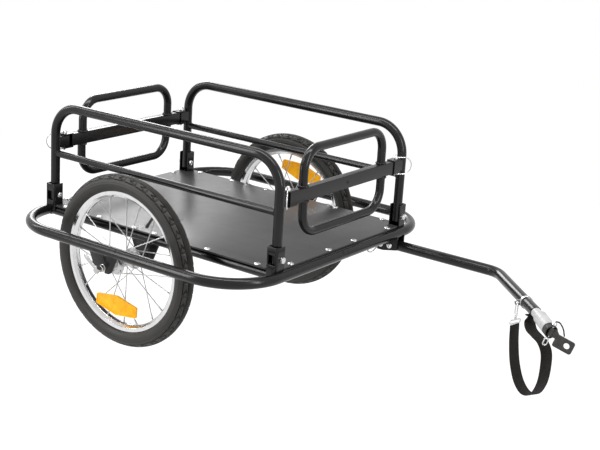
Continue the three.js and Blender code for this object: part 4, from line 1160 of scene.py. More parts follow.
def deck_outline():
    corners = []
    for x_sign, y_sign in ((1, -1), (1, 1), (-1, 1), (-1, -1)):
        notch = [(NOTCH_X, DECK_HALF_WIDTH), (NOTCH_X, NOTCH_Y), (DECK_HALF_LENGTH, NOTCH_Y)]
        if x_sign * y_sign > 0:
            notch.reverse()
        corners += [(x_sign * x, y_sign * y) for x, y in notch]
    return rounded(corners, 1.5, 3)


def make_deck():
    shell = plate(deck_outline(), DECK_THICKNESS).move(0, 0, -DECK_THICKNESS)
    make_piece("faced_deck_board", shell, DECK, ["deck_panel"], edge=0.5)


def make_deck_screws():
    places = [(end * CROSSBAR_SCREWS_X, y) for _, end in ENDS for y in CROSSBAR_SCREWS_Y]
    places += [(x, side * SIDE_SCREWS_Y) for _, side in SIDES for x in SIDE_SCREWS_X]
    shell = Shell()
    for x, y in places:
        shell.join(button_head(7.2, 3, 2.3).move(x, y, 0.05))
    make_piece("deck_screws", shell, ZINC, body="frame")


make_deck()
make_deck_screws()

# %% [markdown]
# ## Corner brackets
#
# Each side rail folds on two pivots, one in each corner bracket. A bracket is a U folded from 2.5 mm
# sheet and welded where two tubes meet, so its feet stand on round tubes. Its middle surface is a
# row of columns along the folded line, and each column's foot ends at z = H + sqrt(R^2 - d^2) on
# whichever tube it is over. The web has a window for the rail's tail. Solidify then gives the sheet
# its thickness, which is easier than modelling both faces of a cut and folded sheet.

# %% Folded sheet of a bracket
RAIL_HALF_LENGTH = 334
RAIL_Y = 237.6
PIVOT_Z = HOOP_Z + 38.5
BRACKET_HALF_WIDTH = 14.7
BRACKET_WEB_Y = 254
BRACKET_DEPTH = 27
BRACKET_SHEET = 2.5
BRACKET_FOLD = 2.6
BRACKET_TOP_Z = HOOP_Z + 67
BRACKET_BOTTOM_Z = HOOP_Z + 3
COLUMN_SPACING = 1.6
WINDOW_HALF_WIDTH = 9.5
WINDOW_HALF_HEIGHT = 11


def bracket_foot(x, y):
    """The height where a bracket's wall ends: on the side tube, on the crossbar or in the air."""
    side_tube = HOOP_Z + reach_of(SIDE_TUBE_RADIUS + FIT, y - SIDE_TUBE_Y)
    crossbar = HOOP_Z + reach_of(HOOP_RADIUS + FIT, x - HOOP_HALF_LENGTH)
    return np.maximum(BRACKET_BOTTOM_Z, np.maximum(side_tube, crossbar))


def bracket_columns(web_y):
    """Where the wall's columns stand, seen from above: along the folded line, closely spaced."""
    half = BRACKET_HALF_WIDTH - BRACKET_SHEET / 2
    open_y = BRACKET_WEB_Y - BRACKET_DEPTH
    fold = bent_route([(-half, open_y, 0), (-half, web_y, 0), (half, web_y, 0), (half, open_y, 0)],
                      BRACKET_FOLD, 0.8)
    columns = [fold[:1]]
    for before, after in zip(fold, fold[1:]):
        count = max(1, int(np.linalg.norm(after - before) / COLUMN_SPACING))
        columns.append(before + (after - before) * np.arange(1, count + 1)[:, None] / count)
    return np.vstack(columns)[:, :2] + (RAIL_HALF_LENGTH, 0)


def bracket_walls():
    """The middle surface of the front left bracket: four levels of columns, less the web's window."""
    web_y = BRACKET_WEB_Y - BRACKET_SHEET / 2
    columns = bracket_columns(web_y)
    count = len(columns)
    levels = (bracket_foot(*columns.T), PIVOT_Z - WINDOW_HALF_HEIGHT, PIVOT_Z + WINDOW_HALF_HEIGHT,
              BRACKET_TOP_Z)
    shell = Shell()
    shell.points = np.vstack([np.column_stack([columns, np.broadcast_to(z, count)]) for z in levels])
    middle = (columns[:-1] + columns[1:]) / 2
    in_window = (middle[:, 1] > web_y - 0.2) & (np.abs(middle[:, 0] - RAIL_HALF_LENGTH) < WINDOW_HALF_WIDTH)
    i = np.arange(count - 1)
    for row in range(3):
        low, high = row * count, (row + 1) * count
        quads = np.stack([low + i, low + i + 1, high + i + 1, high + i], axis=1)
        if row == 1:
            quads = quads[~in_window]
        shell.faces.extend(tuple(quad) for quad in quads.tolist())
        u = np.repeat((quads[:, 0] - low) * COLUMN_SPACING, 4)
        shell.uvs.extend(np.column_stack([u, shell.points[quads.ravel(), 2]]).tolist())
    return shell


print(f"a bracket stands {BRACKET_TOP_Z - BRACKET_BOTTOM_Z} mm high on {SIDE_TUBE_RADIUS * 2} mm tube")

# %% [markdown]
# One bracket is worked out for the front left corner, and signs carry it to the other three. The
# pivot bolt goes through both of its walls and the rail's tail, with its nut towards the trailer's
# end.

# %% Four corners
def make_corner(end_name, end, side_name, side):
    name = f"{end_name}_{side_name}"
    bracket = make_piece(f"folded_corner_bracket_{name}", bracket_walls().mirror(x=end, y=side), BLACK,
                         [f"corner_bracket_{name}"])
    sheet = bracket.modifiers.new("sheet thickness", "SOLIDIFY")
    sheet.thickness = BRACKET_SHEET * MM
    sheet.offset = 0
    round_edges(bracket, 0.4)
    bolt = hex_bolt_pair(BRACKET_HALF_WIDTH + FIT).mirror(z=end)
    place = (end * RAIL_HALF_LENGTH, side * RAIL_Y, PIVOT_Z)
    make_piece(f"bracket_pivot_bolt_{name}", bolt.turn(ALONG_X, place), ZINC, [f"pivot_bolt_{name}"])


for end_name, end in ENDS:
    for side_name, side in SIDES:
        make_corner(end_name, end, side_name, side)

# %% [markdown]
# ## Side rails
#
# Each rail is an upside-down U of 22 mm tube, with a mid bar coped between its uprights. A short
# stub of box section points inwards from each upright and carries the end of a gate. The rail and
# its stubs are welded into one, so they are one piece, and the mid bar's weld is a bead on the
# saddle where the bar meets the upright.

# %% Side rails, mid bars and stubs
RAIL_RADIUS = 11
RAIL_TOP_Z = HOOP_Z + 256
RAIL_MID_Z = HOOP_Z + 139.6
RAIL_BEND = 70
RAIL_TAIL = 13
MID_BAR_RADIUS = 8
MID_BAR_WELD_RADIUS = 1.3
STUB_END_Y = 201
GATE_Z = HOOP_Z + 165.5


def rail_stub(end, side):
    stub = section_tube(box_outline(17, 27, 2.5), box_outline(14, 24, 1), RAIL_Y - STUB_END_Y)
    return stub.turn(DRAWN_UPRIGHT, (end * RAIL_HALF_LENGTH, side * (RAIL_Y + STUB_END_Y) / 2, GATE_Z))


def make_rail(name, side):
    x, y, foot = RAIL_HALF_LENGTH, side * RAIL_Y, PIVOT_Z - RAIL_TAIL
    line = bent_route([(-x, y, foot), (-x, y, RAIL_TOP_Z), (x, y, RAIL_TOP_Z), (x, y, foot)], RAIL_BEND)
    shell = tube(line, RAIL_RADIUS, THIN_WALL, 40)
    shell.join(rail_stub(1, side), rail_stub(-1, side))
    make_piece(f"folding_side_rail_{name}", shell, BLACK, [f"side_rail_{name}"])


def make_mid_bar(name, side):
    place = (0, side * RAIL_Y, RAIL_MID_Z)
    bar = coped_tube(MID_BAR_RADIUS, THIN_WALL,
                     lambda x, y: RAIL_HALF_LENGTH - reach_of(RAIL_RADIUS + FIT, x))
    make_piece(f"side_rail_mid_bar_{name}", bar.turn(ALONG_X, place), BLACK, [f"rail_mid_bar_{name}"])
    across, up = ring_at(MID_BAR_RADIUS, 0, 40)[:, :2].T
    along = RAIL_HALF_LENGTH - reach_of(RAIL_RADIUS, across)
    weld = Shell()
    for _, end in ENDS:
        line = np.stack([end * along, across, up], axis=1) + place
        weld.join(weld_bead(line, MID_BAR_WELD_RADIUS, 2.2))
    make_piece(f"mid_bar_welds_{name}", weld, BLACK, body=f"rail_{name}")


for name, side in SIDES:
    make_rail(name, side)
    make_mid_bar(name, side)

# %% [markdown]
# ## End gates
#
# A gate closes each end of the trailer and lifts off. It is a crossbar of box section, with a clip of
# folded sheet at each end that reaches round a rail's stub, and a rounded loop of tube above and
# below it. The upper and lower loop look like one ring that the crossbar cuts in two, but each is
# its own bent tube whose feet are welded on with a lumpy bead, so they are built that way.

# %% Clips
GATE_BAR_HEIGHT = 30
GATE_BAR_DEPTH = 20
GATE_BAR_HALF_LENGTH = 193
CLIP_SHEET = 3
CLIP_LENGTH = 27
CLIP_OVERLAP = 4
CLIP_OUTER_Z = 17.5
CLIP_FRONT = 12.5


def clip_shell(end, side):
    """A U of 3 mm sheet: an outer outline with wide corners and an inner one with tight corners."""
    outer_z, inner_z = CLIP_OUTER_Z, CLIP_OUTER_Z - CLIP_SHEET
    back, front, inner_front = -GATE_BAR_DEPTH / 2, CLIP_FRONT, CLIP_FRONT - CLIP_SHEET
    outline = rounded([(-outer_z, back), (-outer_z, front), (outer_z, front), (outer_z, back),
                       (inner_z, back), (inner_z, inner_front), (-inner_z, inner_front),
                       (-inner_z, back)], [0.4, 4, 4, 0.4, 0.4, 1.2, 1.2, 0.4])
    middle = GATE_BAR_HALF_LENGTH - CLIP_OVERLAP + CLIP_LENGTH / 2
    shell = plate(outline, CLIP_LENGTH).move(0, 0, -CLIP_LENGTH / 2)
    return shell.turn(((0, 0, 1), (end, 0, 0), (0, 1, 0)),
                      (end * RAIL_HALF_LENGTH, side * middle, GATE_Z))


print(f"a clip holds {CLIP_LENGTH - CLIP_OVERLAP} mm of its rail's stub")

# %% [markdown]
# The front and the rear gate differ only in how high and how low their loops reach. The upper loop
# stands a few millimetres inside the lower one, as its feet are welded nearer the load. The crossbar
# has one round hole in the middle of its outer face.

# %% Gates
GATE_LOOP_RADIUS = 10
GATE_LOOP_HALF_WIDTH = 152
GATE_LOOP_BEND = 47
UPPER_LOOP_SETBACK = 3
BOX_WALL = 1.5
GATE_REACHES = {"front": (HOOP_Z + 261, HOOP_Z + 74), "rear": (HOOP_Z + 255, HOOP_Z + 76)}


def gate_bar(end):
    bar = section_tube(box_outline(GATE_BAR_DEPTH, GATE_BAR_HEIGHT, 2.6),
                       box_outline(GATE_BAR_DEPTH - 2 * BOX_WALL, GATE_BAR_HEIGHT - 2 * BOX_WALL, 1.1),
                       2 * GATE_BAR_HALF_LENGTH)
    bar.turn(DRAWN_UPRIGHT, (end * RAIL_HALF_LENGTH, 0, GATE_Z))
    return bar.join(clip_shell(end, 1), clip_shell(end, -1))


def gate_loop(x, up, far_z):
    """Half a rounded ring of tube above (up = 1) or below (up = -1) the crossbar, and its feet's welds."""
    y, foot_z = GATE_LOOP_HALF_WIDTH, GATE_Z + up * (GATE_BAR_HEIGHT / 2 + FIT)
    line = bent_route([(x, -y, foot_z), (x, -y, far_z), (x, y, far_z), (x, y, foot_z)], GATE_LOOP_BEND, 3)
    welds = Shell()
    for _, side in SIDES:
        bead = weld_bead(ring_at(GATE_LOOP_RADIUS + 0.3), 2.0, 3.4, 0.35)
        welds.join(bead.move(x, side * y, foot_z + up * 0.9))
    return tube(line, GATE_LOOP_RADIUS, THIN_WALL, 36), welds


def make_gate(end_name, end):
    x = end * RAIL_HALF_LENGTH
    top_z, bottom_z = GATE_REACHES[end_name]
    make_piece(f"{end_name}_gate_box_bar", gate_bar(end), BLACK, [f"{end_name}_gate_crossbar"])
    all_welds = Shell()
    for loop_name, up, loop_x, far_z in (("upper", 1, x - end * UPPER_LOOP_SETBACK, top_z),
                                         ("lower", -1, x, bottom_z)):
        loop, welds = gate_loop(loop_x, up, far_z)
        make_piece(f"{end_name}_gate_{loop_name}_hoop", loop, BLACK, [f"{end_name}_gate_{loop_name}_loop"])
        all_welds.join(welds)
    make_piece(f"{end_name}_gate_welds", all_welds, BLACK, body=f"gate_{end_name}")
    # The crossbar's hole is a shallow dish whose near-black colour is painted shade.
    hole = hole_shade_dish(4.2)
    hole.turn(((0, end, 0), (0, 0, 1), (end, 0, 0)), (x + end * GATE_BAR_DEPTH / 2, 0, GATE_Z))
    make_piece(f"{end_name}_gate_bar_hole_shade", hole, PAINTED_HOLE_SHADE, body=f"gate_{end_name}")


for end_name, end in ENDS:
    make_gate(end_name, end)

# %% [markdown]
# A pin drops through each clip and stub, and its sprung wire ring snaps round the clip so that it
# can't shake out. The pin is a turned part, and the ring is a wire along a line with wide arcs.

# %% Ring pins
PIN_Y = 210
PIN_SEAT = 17.8
PIN_LENGTH = 2 * PIN_SEAT + 5
PIN_RING_TURN = math.radians(35)
PIN_RING_REACH = 42
PIN_RING_TOP = 2.25


def make_ring_pin(end_name, end, side_name, side):
    low, top_z, low_z = -PIN_LENGTH, PIN_RING_TOP, 2.5 - PIN_LENGTH
    body = turned([(0, low), (2, low), (4, low + 4), (4, 0), (6.5, 0), (6.5, 4), (5.9, 5.2), (3.6, 7.6),
                   (3, 9), (0, 9)], 40)
    reach = PIN_RING_REACH * spot(end * math.sin(PIN_RING_TURN), side * math.cos(PIN_RING_TURN), 0)
    top, bottom = spot(0, 0, top_z), spot(0, 0, low_z)
    ring = bent_route([top, top + reach, bottom + reach, bottom], (top_z - low_z - 1) / 2, 1.2)
    body.join(wire(ring, 1.25))
    place = (end * RAIL_HALF_LENGTH, side * PIN_Y, GATE_Z + PIN_SEAT)
    name = f"{end_name}_{side_name}"
    make_piece(f"sprung_ring_pin_{name}", body.turn(ALONG_Z, place), ZINC, [f"ring_pin_{name}"])


for end_name, end in ENDS:
    for side_name, side in SIDES:
        make_ring_pin(end_name, end, side_name, side)

# %% [markdown]
# ## Wheels
#
# The wheels are 16 inch ones, 400 mm over the tyre, with a tread of rings and slanted blocks. A
# tyre's surface is one grid: an angle round the wheel by an angle round the tyre's own section. Its
# section's radius is pressed in wherever the tread has a groove, so the tread is real shape and
# shows on the outline. A Displace modifier with a texture could do the same, but its edges would be
# soft and it needs an image or a texture to read.

# %% Tread
TREAD_BLOCKS = 37
TREAD_DEPTH = 3
RINGS_END = 8
BLOCKS_END = 21
TREAD_END = 23.5


def groove(phase, share):
    """1 on a block and 0 in a groove, with a soft edge; share is the part of the pitch that is groove."""
    distance = np.abs((phase % 1) - 0.5) * 2
    return np.clip((distance - share) / 0.12, 0, 1)


def tread_height(around, across):
    """How deep the tread is pressed in, in mm, at an angle around the wheel and an arc across it.

    The crown has fine rings. Outside it stand V-shaped grooves, whose point runs ahead by
    |across| - 14 mm, between two thin rings. All of it fades out at the sidewall.
    """
    turns = around * TREAD_BLOCKS / (2 * math.pi)
    reach = np.abs(across)
    rings = 0.45 + 0.55 * groove(reach / 2.7, 0.35)
    vees = groove(turns + np.abs(reach - 14) / 15, 0.13) * groove(turns + 0.5, 0.05)
    from_border = np.minimum(np.abs(reach - RINGS_END), np.abs(reach - BLOCKS_END))
    borders = np.clip((from_border - 0.4) / 0.5, 0, 1)
    pattern = np.where(reach < RINGS_END, rings, np.where(reach < BLOCKS_END, vees, 1)) * borders
    fade = np.clip((TREAD_END - reach) / 1.5, 0, 1)
    return TREAD_DEPTH * (1 - pattern) * fade


print(f"{TREAD_BLOCKS} pairs of blocks, {TREAD_DEPTH} mm deep")

# %% [markdown]
# The tyre is open towards the rim: its section sweeps from one bead over the tread to the other
# bead, and four more rows close it inside the rim's walls. Thin ribs run round the sidewall, where a
# real mould leaves them. Both wheels use the same shell.

# %% Tyres
WHEEL_Y = 307.5
AXLE_Z = HOOP_Z - 42
TYRE_RADIUS = 200
TYRE_SECTION = 22
TYRE_COLUMNS = 1056
RIM_RADIUS = 162
RIB_HEIGHT = 0.9
RIBS_FROM, RIBS_TO = 25, 37


def tyre_shell():
    """A grid whose section radius is 22 mm, less the tread's depth and plus the sidewall's ribs."""
    around = full_turn(TYRE_COLUMNS)
    tread = np.radians(np.linspace(62, -62, 54))
    wall = np.radians(np.linspace(66, 130, 16))
    section_angle = np.concatenate([wall[::-1], tread, -wall])[:, None]
    across = TYRE_SECTION * section_angle
    on_wall = (np.abs(across) > RIBS_FROM) & (np.abs(across) < RIBS_TO)
    ribs = np.where(on_wall, RIB_HEIGHT * np.maximum(0, np.sin(np.abs(across) * 1.2)), 0)
    reach = TYRE_SECTION - FIT - tread_height(around, across) + ribs
    seat = np.array([(RIM_RADIUS + FIT, -9.8), (RIM_RADIUS - 6, -9.8), (RIM_RADIUS - 6, 9.8),
                     (RIM_RADIUS + FIT, 9.8)])[:, :, None] * np.ones(TYRE_COLUMNS)
    radius = np.vstack([TYRE_RADIUS - TYRE_SECTION + reach * np.cos(section_angle), seat[:, 0]])
    y = np.vstack([reach * np.sin(section_angle), seat[:, 1]])
    return Shell().skin(np.stack([radius * np.cos(around), y, radius * np.sin(around)], axis=2), wrap=True)


def axle_axes(side):
    """The wheel's own frame: z points outboard along the axle, x forward."""
    return ((1, 0, 0), (0, 0, side), (0, side, 0))


def wheel_spot(side):
    return (WHEEL_X, side * WHEEL_Y, AXLE_Z)


TYRE_SHELL = tyre_shell()


def make_tyre(name, side):
    tyre = Shell().join(TYRE_SHELL).turn(ALONG_Z, wheel_spot(side))
    make_piece(f"treaded_tyre_{name}", tyre, TYRE, [f"tyre_{name}"], sharp=60)


# %% [markdown]
# A rim is rolled from one strip of alloy and joined end to end, so its section is the same all
# round. That makes it a turned part: two hooked walls that hold the tyre, a brake track, and a
# rounded inner face that the spokes pull on. The profile is drawn for one half and mirrored. Each
# rim is made together with its tyre.

# %% Rims
RIM_INNER = 147
RIM_HALF_WIDTH = 12.5
RIM_WALL = 2.3


def rim_shell():
    half = RIM_HALF_WIDTH
    outer = [(RIM_INNER + 0.2, 0), (RIM_INNER + 0.5, 5), (RIM_INNER + 2, 7.5), (RIM_INNER + 5, 9.6),
             (RIM_INNER + 6.2, half - 0.9), (RIM_INNER + 7, half - 0.2), (RIM_RADIUS - 1.6, half - 0.2),
             (RIM_RADIUS - 1, half), (RIM_RADIUS, half), (RIM_RADIUS, half - RIM_WALL),
             (RIM_RADIUS - 7, half - RIM_WALL), (RIM_RADIUS - 9.3, 0)]
    mirrored = [(radius, -y) for radius, y in outer[-2:0:-1]]
    return turned(outer + mirrored, 240, True)


for name, side in SIDES:
    make_tyre(name, side)
    make_piece(f"alloy_rim_{name}", rim_shell().turn(axle_axes(side), wheel_spot(side)), ALLOY,
               [f"rim_{name}"], sharp=30)

# %% [markdown]
# Twenty spokes lace each wheel. Seen from the side they cross, because each leaves its flange
# leaning 66 degrees ahead or behind, and seen from the front they alternate between both flanges. A
# spoke's elbow hooks through the flange with a small head, and its other end screws into a nipple
# that passes through the rim. One function gives a spoke from its number, so no spoke is placed by
# hand.

# %% Spokes and nipples
SPOKE_COUNT = 20
SPOKE_LEAN = math.radians(66)
SPOKE_RADIUS = 1.15
SPOKE_CIRCLE = 21
SPOKE_RIM_RADIUS = 146.6
SPOKE_ELBOW = 4.6
FLANGE_Z = 28
NIPPLE = ((0, 0), (2.1, 0), (2.1, 3), (1.9, 4), (1.9, 11), (1.4, 12.2), (0, 12.2))


def spoke_ends(index):
    """A spoke's ends in the wheel's frame, its flange, and the side of the flange that it leaves."""
    flange = 1 if index % 2 == 0 else -1
    lean = 1 if index // 2 % 2 == 0 else -1
    rim_angle = 2 * math.pi * index / SPOKE_COUNT
    hub_angle = rim_angle + lean * SPOKE_LEAN
    hub = spot(SPOKE_CIRCLE * math.cos(hub_angle), SPOKE_CIRCLE * math.sin(hub_angle),
               flange * (FLANGE_Z + lean * 1.9))
    rim = spot(SPOKE_RIM_RADIUS * math.cos(rim_angle), SPOKE_RIM_RADIUS * math.sin(rim_angle), flange * 3)
    return hub, rim, flange * lean


def spoke_shell(index):
    hub, rim, outward = spoke_ends(index)
    inner = hub - spot(0, 0, outward * SPOKE_ELBOW)
    shell = wire(bent_route([inner, hub, rim], 1.8, 0.8), SPOKE_RADIUS, 10)
    shell.join(button_head(2.3, 1.1).turn(((1, 0, 0), (0, -outward, 0), (0, 0, -outward)), inner))
    inwards = unit(hub - rim)
    side = unit(np.cross(inwards, spot(0, 0, 1)))
    return shell.join(turned(NIPPLE, 16).turn((side, np.cross(inwards, side), inwards), rim))


spoke_length = np.linalg.norm(np.subtract(*spoke_ends(0)[:2]))
print(f"a spoke is {spoke_length:.0f} mm long")

# %% [markdown]
# The hub is turned: a waisted barrel between two flanges. It and its spokes are laced into one, so
# they are one piece. The valve is a rubber stem through the rim, and each wheel has stopped with its
# valve somewhere else.

# %% Hubs and valves
VALVE_DEGREES = {"left": 164, "right": 56}
VALVE = ((0, 0), (3.9, 0), (3.9, 1), (3.1, 2.5), (3.1, 24), (3.9, 24.5), (3.9, 33), (3.2, 34), (0, 34))


def hub_shell():
    """A turned hub: a waisted barrel between two flanges, with a cone cap at each end."""
    half = [(4.9, 33), (11, 33), (12, 32.2), (12.6, 31), (14.5, 29.8), (24.2, 29.6), (25, 29),
            (25, 27.2), (24.2, 26.5), (17.5, 26.2), (15.2, 24), (13.6, 20), (13, 12), (12.8, 0)]
    mirrored = [(radius, -z) for radius, z in half[-2::-1]]
    return turned(half + mirrored, 96, True)


def make_hub(name, side):
    shell = hub_shell()
    for index in range(SPOKE_COUNT):
        shell.join(spoke_shell(index))
    make_piece(f"laced_hub_{name}", shell.turn(axle_axes(side), wheel_spot(side)), SPOKES,
               [f"hub_and_spokes_{name}"])


def make_valve(name, side):
    angle = side * math.radians(VALVE_DEGREES[name])
    inwards = -spot(math.cos(angle), math.sin(angle), 0)
    valve = turned(VALVE, 24)
    valve.turn((spot(0, 0, 1), np.cross(inwards, spot(0, 0, 1)), inwards), -inwards * RIM_INNER)
    make_piece(f"valve_stem_{name}", valve.turn(axle_axes(side), wheel_spot(side)), RUBBER,
               body=f"wheel_{name}")


for name, side in SIDES:
    make_hub(name, side)
    make_valve(name, side)

# %% [markdown]
# ## Reflectors
#
# A reflector is an amber lens clipped to the spokes. Its outline has six sides, widest in the
# middle, and a smooth border stands a little above the field of prisms. Two plates of the same
# outline, one with a window, give that step without any cutting.

# %% Reflectors
REFLECTOR_RADIUS = 103
REFLECTOR_OUTBOARD = 14.1
REFLECTOR_DEGREES = {"left": 79, "right": 267}
LENS_BORDER = 2.2


def lens_outline(margin):
    """Six corners: two blunt ones in the middle and four at the ends, all drawn in by a margin."""
    length, middle, end = 61 - margin, 23 - margin, 12 - margin
    return rounded([(-length, -end), (0, -middle), (length, -end), (length, end), (0, middle),
                    (-length, end)], [3, 12, 3, 3, 12, 3])


def reflector_shell():
    border = plate(lens_outline(0), 6, [lens_outline(LENS_BORDER)])
    return border.join(plate(lens_outline(LENS_BORDER - 0.1), 4.4).move(0, 0, 0.5))


def make_reflector(name, side):
    middle = math.radians(REFLECTOR_DEGREES[name])
    outwards = spot(math.cos(middle), 0, math.sin(middle))
    place = spot(WHEEL_X, side * (WHEEL_Y + REFLECTOR_OUTBOARD), AXLE_Z) + outwards * REFLECTOR_RADIUS
    shell = reflector_shell()
    shell.turn((np.cross(outwards, spot(0, side, 0)), outwards, (0, side, 0)), place)
    make_piece(f"amber_wheel_reflector_{name}", shell, AMBER, [f"wheel_reflector_{name}"], edge=0.5)


for name, side in SIDES:
    make_reflector(name, side)

# %% [markdown]
# ## Axles, levers and dropout plates
#
# A wheel hangs between two plates, one under the hoop and one under the side tube. Its axle carries a
# nut at the inner end, two spacers and a cap, and a quick release lever clamps it all. The axle is
# turned, and its thread is a zigzag in the profile: rings instead of a helix, which nobody can tell
# apart at this size.

# %% Axles
AXLE_RADIUS = 4.5
PLATE_MIDDLE = 67.5
PLATE_HALF_THICKNESS = 2.3
THREAD_PITCH = 0.7
THREAD_DEPTH = 0.35


def spacer(low, high):
    return turned([(4.6, low), (8.5, low), (9, low + 0.6), (9, high - 0.6), (8.5, high), (4.6, high)],
                  40, True)


def axle_shell():
    """Axle along z from the inner plate's nut to the outer plate's cap, threaded by the nut."""
    inner, outer, radius = -PLATE_MIDDLE, PLATE_MIDDLE, AXLE_RADIUS
    start, cap = inner - PLATE_HALF_THICKNESS - 8, outer + PLATE_HALF_THICKNESS
    rod = [(0, start - 1), (3.6, start - 1), (radius, start)]
    thread = [(radius - THREAD_DEPTH * (step % 2), start + THREAD_PITCH * step) for step in range(1, 11)]
    rest = [(radius, inner), (radius, cap + 8), (0, cap + 8)]
    shell = turned(rod + thread + rest, 24)
    shell.join(hexagon(16, 7, 4.4).move(0, 0, start))
    shell.join(spacer(inner + PLATE_HALF_THICKNESS, -33.3), spacer(33.3, outer - PLATE_HALF_THICKNESS))
    return shell.join(turned([(4.6, cap), (9, cap), (9, cap + 1.2), (8.2, cap + 1.8), (8.2, cap + 7.5),
                              (7.4, cap + 9), (4.6, cap + 9)], 40, True))


def make_axle(name, side):
    make_piece(f"threaded_axle_{name}", axle_shell().turn(axle_axes(side), wheel_spot(side)), ZINC,
               [f"axle_{name}"])

# %% [markdown]
# The lever's arm bows outboard so that a finger gets behind it. Its section is a flat oval that
# narrows at the neck and widens to a paddle: |cos(a)|^0.7 and |sin(a)|^0.7 with their signs give an
# oval whose sides are fuller than an ellipse's. Its line is a smooth curve through four points. Each
# lever is made together with its axle.

# %% Quick release levers
LEVER_ANGLE = math.radians(140)
LEVER_Y = 393.6
OVAL_POWER = 0.7
BARREL = ((0, -7), (6, -7), (7, -6), (7, 6), (6, 7), (0, 7))


def full_oval(steps):
    """An oval two wide and two high: sign(c)*|c|^0.7 for the cosine and for the sine."""
    circle = ring_at(1, 0, steps)[:, :2]
    return np.sign(circle) * np.abs(circle) ** OVAL_POWER


def lever_shell():
    """A cam lever in its own frame: the arm leaves along x, the barrel along y, outboard is z."""
    barrel = turned(BARREL, 36).turn(((1, 0, 0), (0, 0, -1), (0, 1, 0)))
    line = through_points([(2, 0, 0), (16, 0, 3.5), (32, 0, 5.4), (46, 0, 5)], 12)
    share = np.linspace(0, 1, len(line))
    widths = np.interp(share, [0, 0.35, 0.8, 0.95, 1], [5, 4.2, 5.5, 5.0, 2.6])[:, None]
    heights = np.interp(share, [0, 0.3, 0.95, 1], [4.4, 2.5, 2.1, 0.8])[:, None]
    oval = full_oval(28)
    x = np.broadcast_to(line[:, :1], (len(line), len(oval)))
    rows = np.stack([x, widths * oval[:, 0], line[:, 2:] + heights * oval[:, 1]], axis=2)
    arm = Shell().skin(rows)
    arm.face(rows[0], (1, 2)).face(rows[-1][::-1], (1, 2))
    return barrel.join(arm)


for name, side in SIDES:
    make_axle(name, side)
    c, s = math.cos(LEVER_ANGLE), math.sin(LEVER_ANGLE)
    lever = lever_shell().turn(((c, 0, s), (-s, 0, c), (0, side, 0)), (WHEEL_X, side * LEVER_Y, AXLE_Z))
    make_piece(f"cam_lever_{name}", lever, SPOKES, [f"quick_release_{name}"])

# %% [markdown]
# A dropout plate is cut from 4 mm sheet: straight tapered sides, round lower corners and a slot that
# is open at the bottom, so that the wheel drops out when its lever is opened. It is one outline with
# arcs, and the weld along its top edge is a bead that runs there and back.

# %% Dropout plates
SLOT_RADIUS = 5.5
PLATE_THICKNESS = 4
PLATE_TOP_HALF = 41
PLATE_BOTTOM_HALF = 23
PLATE_BELOW_AXLE = 11
PLATE_CORNER = 14
PLATE_PLACES = {
    "outer": (HOOP_HALF_WIDTH, HOOP_Z - HOOP_RADIUS - FIT),
    "inner": (SIDE_TUBE_Y, HOOP_Z - SIDE_TUBE_RADIUS - FIT),
}


def dropout_plate(top_z):
    """A hanging plate seen along y; its outline goes round the tapered sides and up into the slot."""
    bottom, steps = AXLE_Z - PLATE_BELOW_AXLE, 8
    sides = rounded([(PLATE_BOTTOM_HALF, bottom), (PLATE_TOP_HALF, top_z), (-PLATE_TOP_HALF, top_z),
                     (-PLATE_BOTTOM_HALF, bottom)], [PLATE_CORNER, 0.5, 0.5, PLATE_CORNER], steps)
    angles = np.linspace(math.pi, 0, 13)
    slot = np.column_stack([SLOT_RADIUS * np.cos(angles), AXLE_Z + SLOT_RADIUS * np.sin(angles)])
    outline = np.vstack([(SLOT_RADIUS, bottom), sides, (-SLOT_RADIUS, bottom), slot])
    return plate(outline, PLATE_THICKNESS).move(0, 0, -PLATE_THICKNESS / 2)


def plate_weld(y, top_z):
    """Two beads, one on each face of the plate; each runs along its top edge and back 0.9 mm higher."""
    steps, half = 30, PLATE_TOP_HALF - 1
    along = np.concatenate([np.linspace(-half, half, steps), np.linspace(half, -half, steps)])
    heights = np.repeat((top_z - 0.2, top_z + 0.7), steps)
    weld = Shell()
    for face in (-1, 1):
        line = np.column_stack([WHEEL_X + along, np.full(len(along), y + face * 2.2), heights])
        weld.join(weld_bead(line, 1.1, 2.4))
    return weld


for name, side in SIDES:
    for place_name, (y, top_z) in PLATE_PLACES.items():
        shell = dropout_plate(top_z).turn(DRAWN_UPRIGHT, (WHEEL_X, side * y, 0))
        make_piece(f"{place_name}_dropout_plate_{name}", shell, BLACK,
                   [f"axle_plate_{place_name}_{name}"], edge=0.4)
        make_piece(f"{place_name}_dropout_welds_{name}", plate_weld(side * y, top_z), BLACK,
                   body="frame")

# %% [markdown]
# ## Towbar
#
# The towbar is one bent tube on the trailer's left. It runs straight out from its folded bracket and
# then slants in to the bicycle's axle. Its tail is cut at a slant so that the bar can fold down past
# the tube above it. The slant is made by sliding the tail's rings along the tube by tan(31) times
# their height, which leaves the rest of the tube as it is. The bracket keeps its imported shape.

# %% Towbar and its hinge bolt
TOWBAR_WALL = 2
TOWBAR_TAIL_X = 309.5
TOWBAR_MITRE = math.radians(31)
TOWBAR_BEND = 60
TOW_BOLT_X = 341
TOW_HALF_SPAN = 15.6


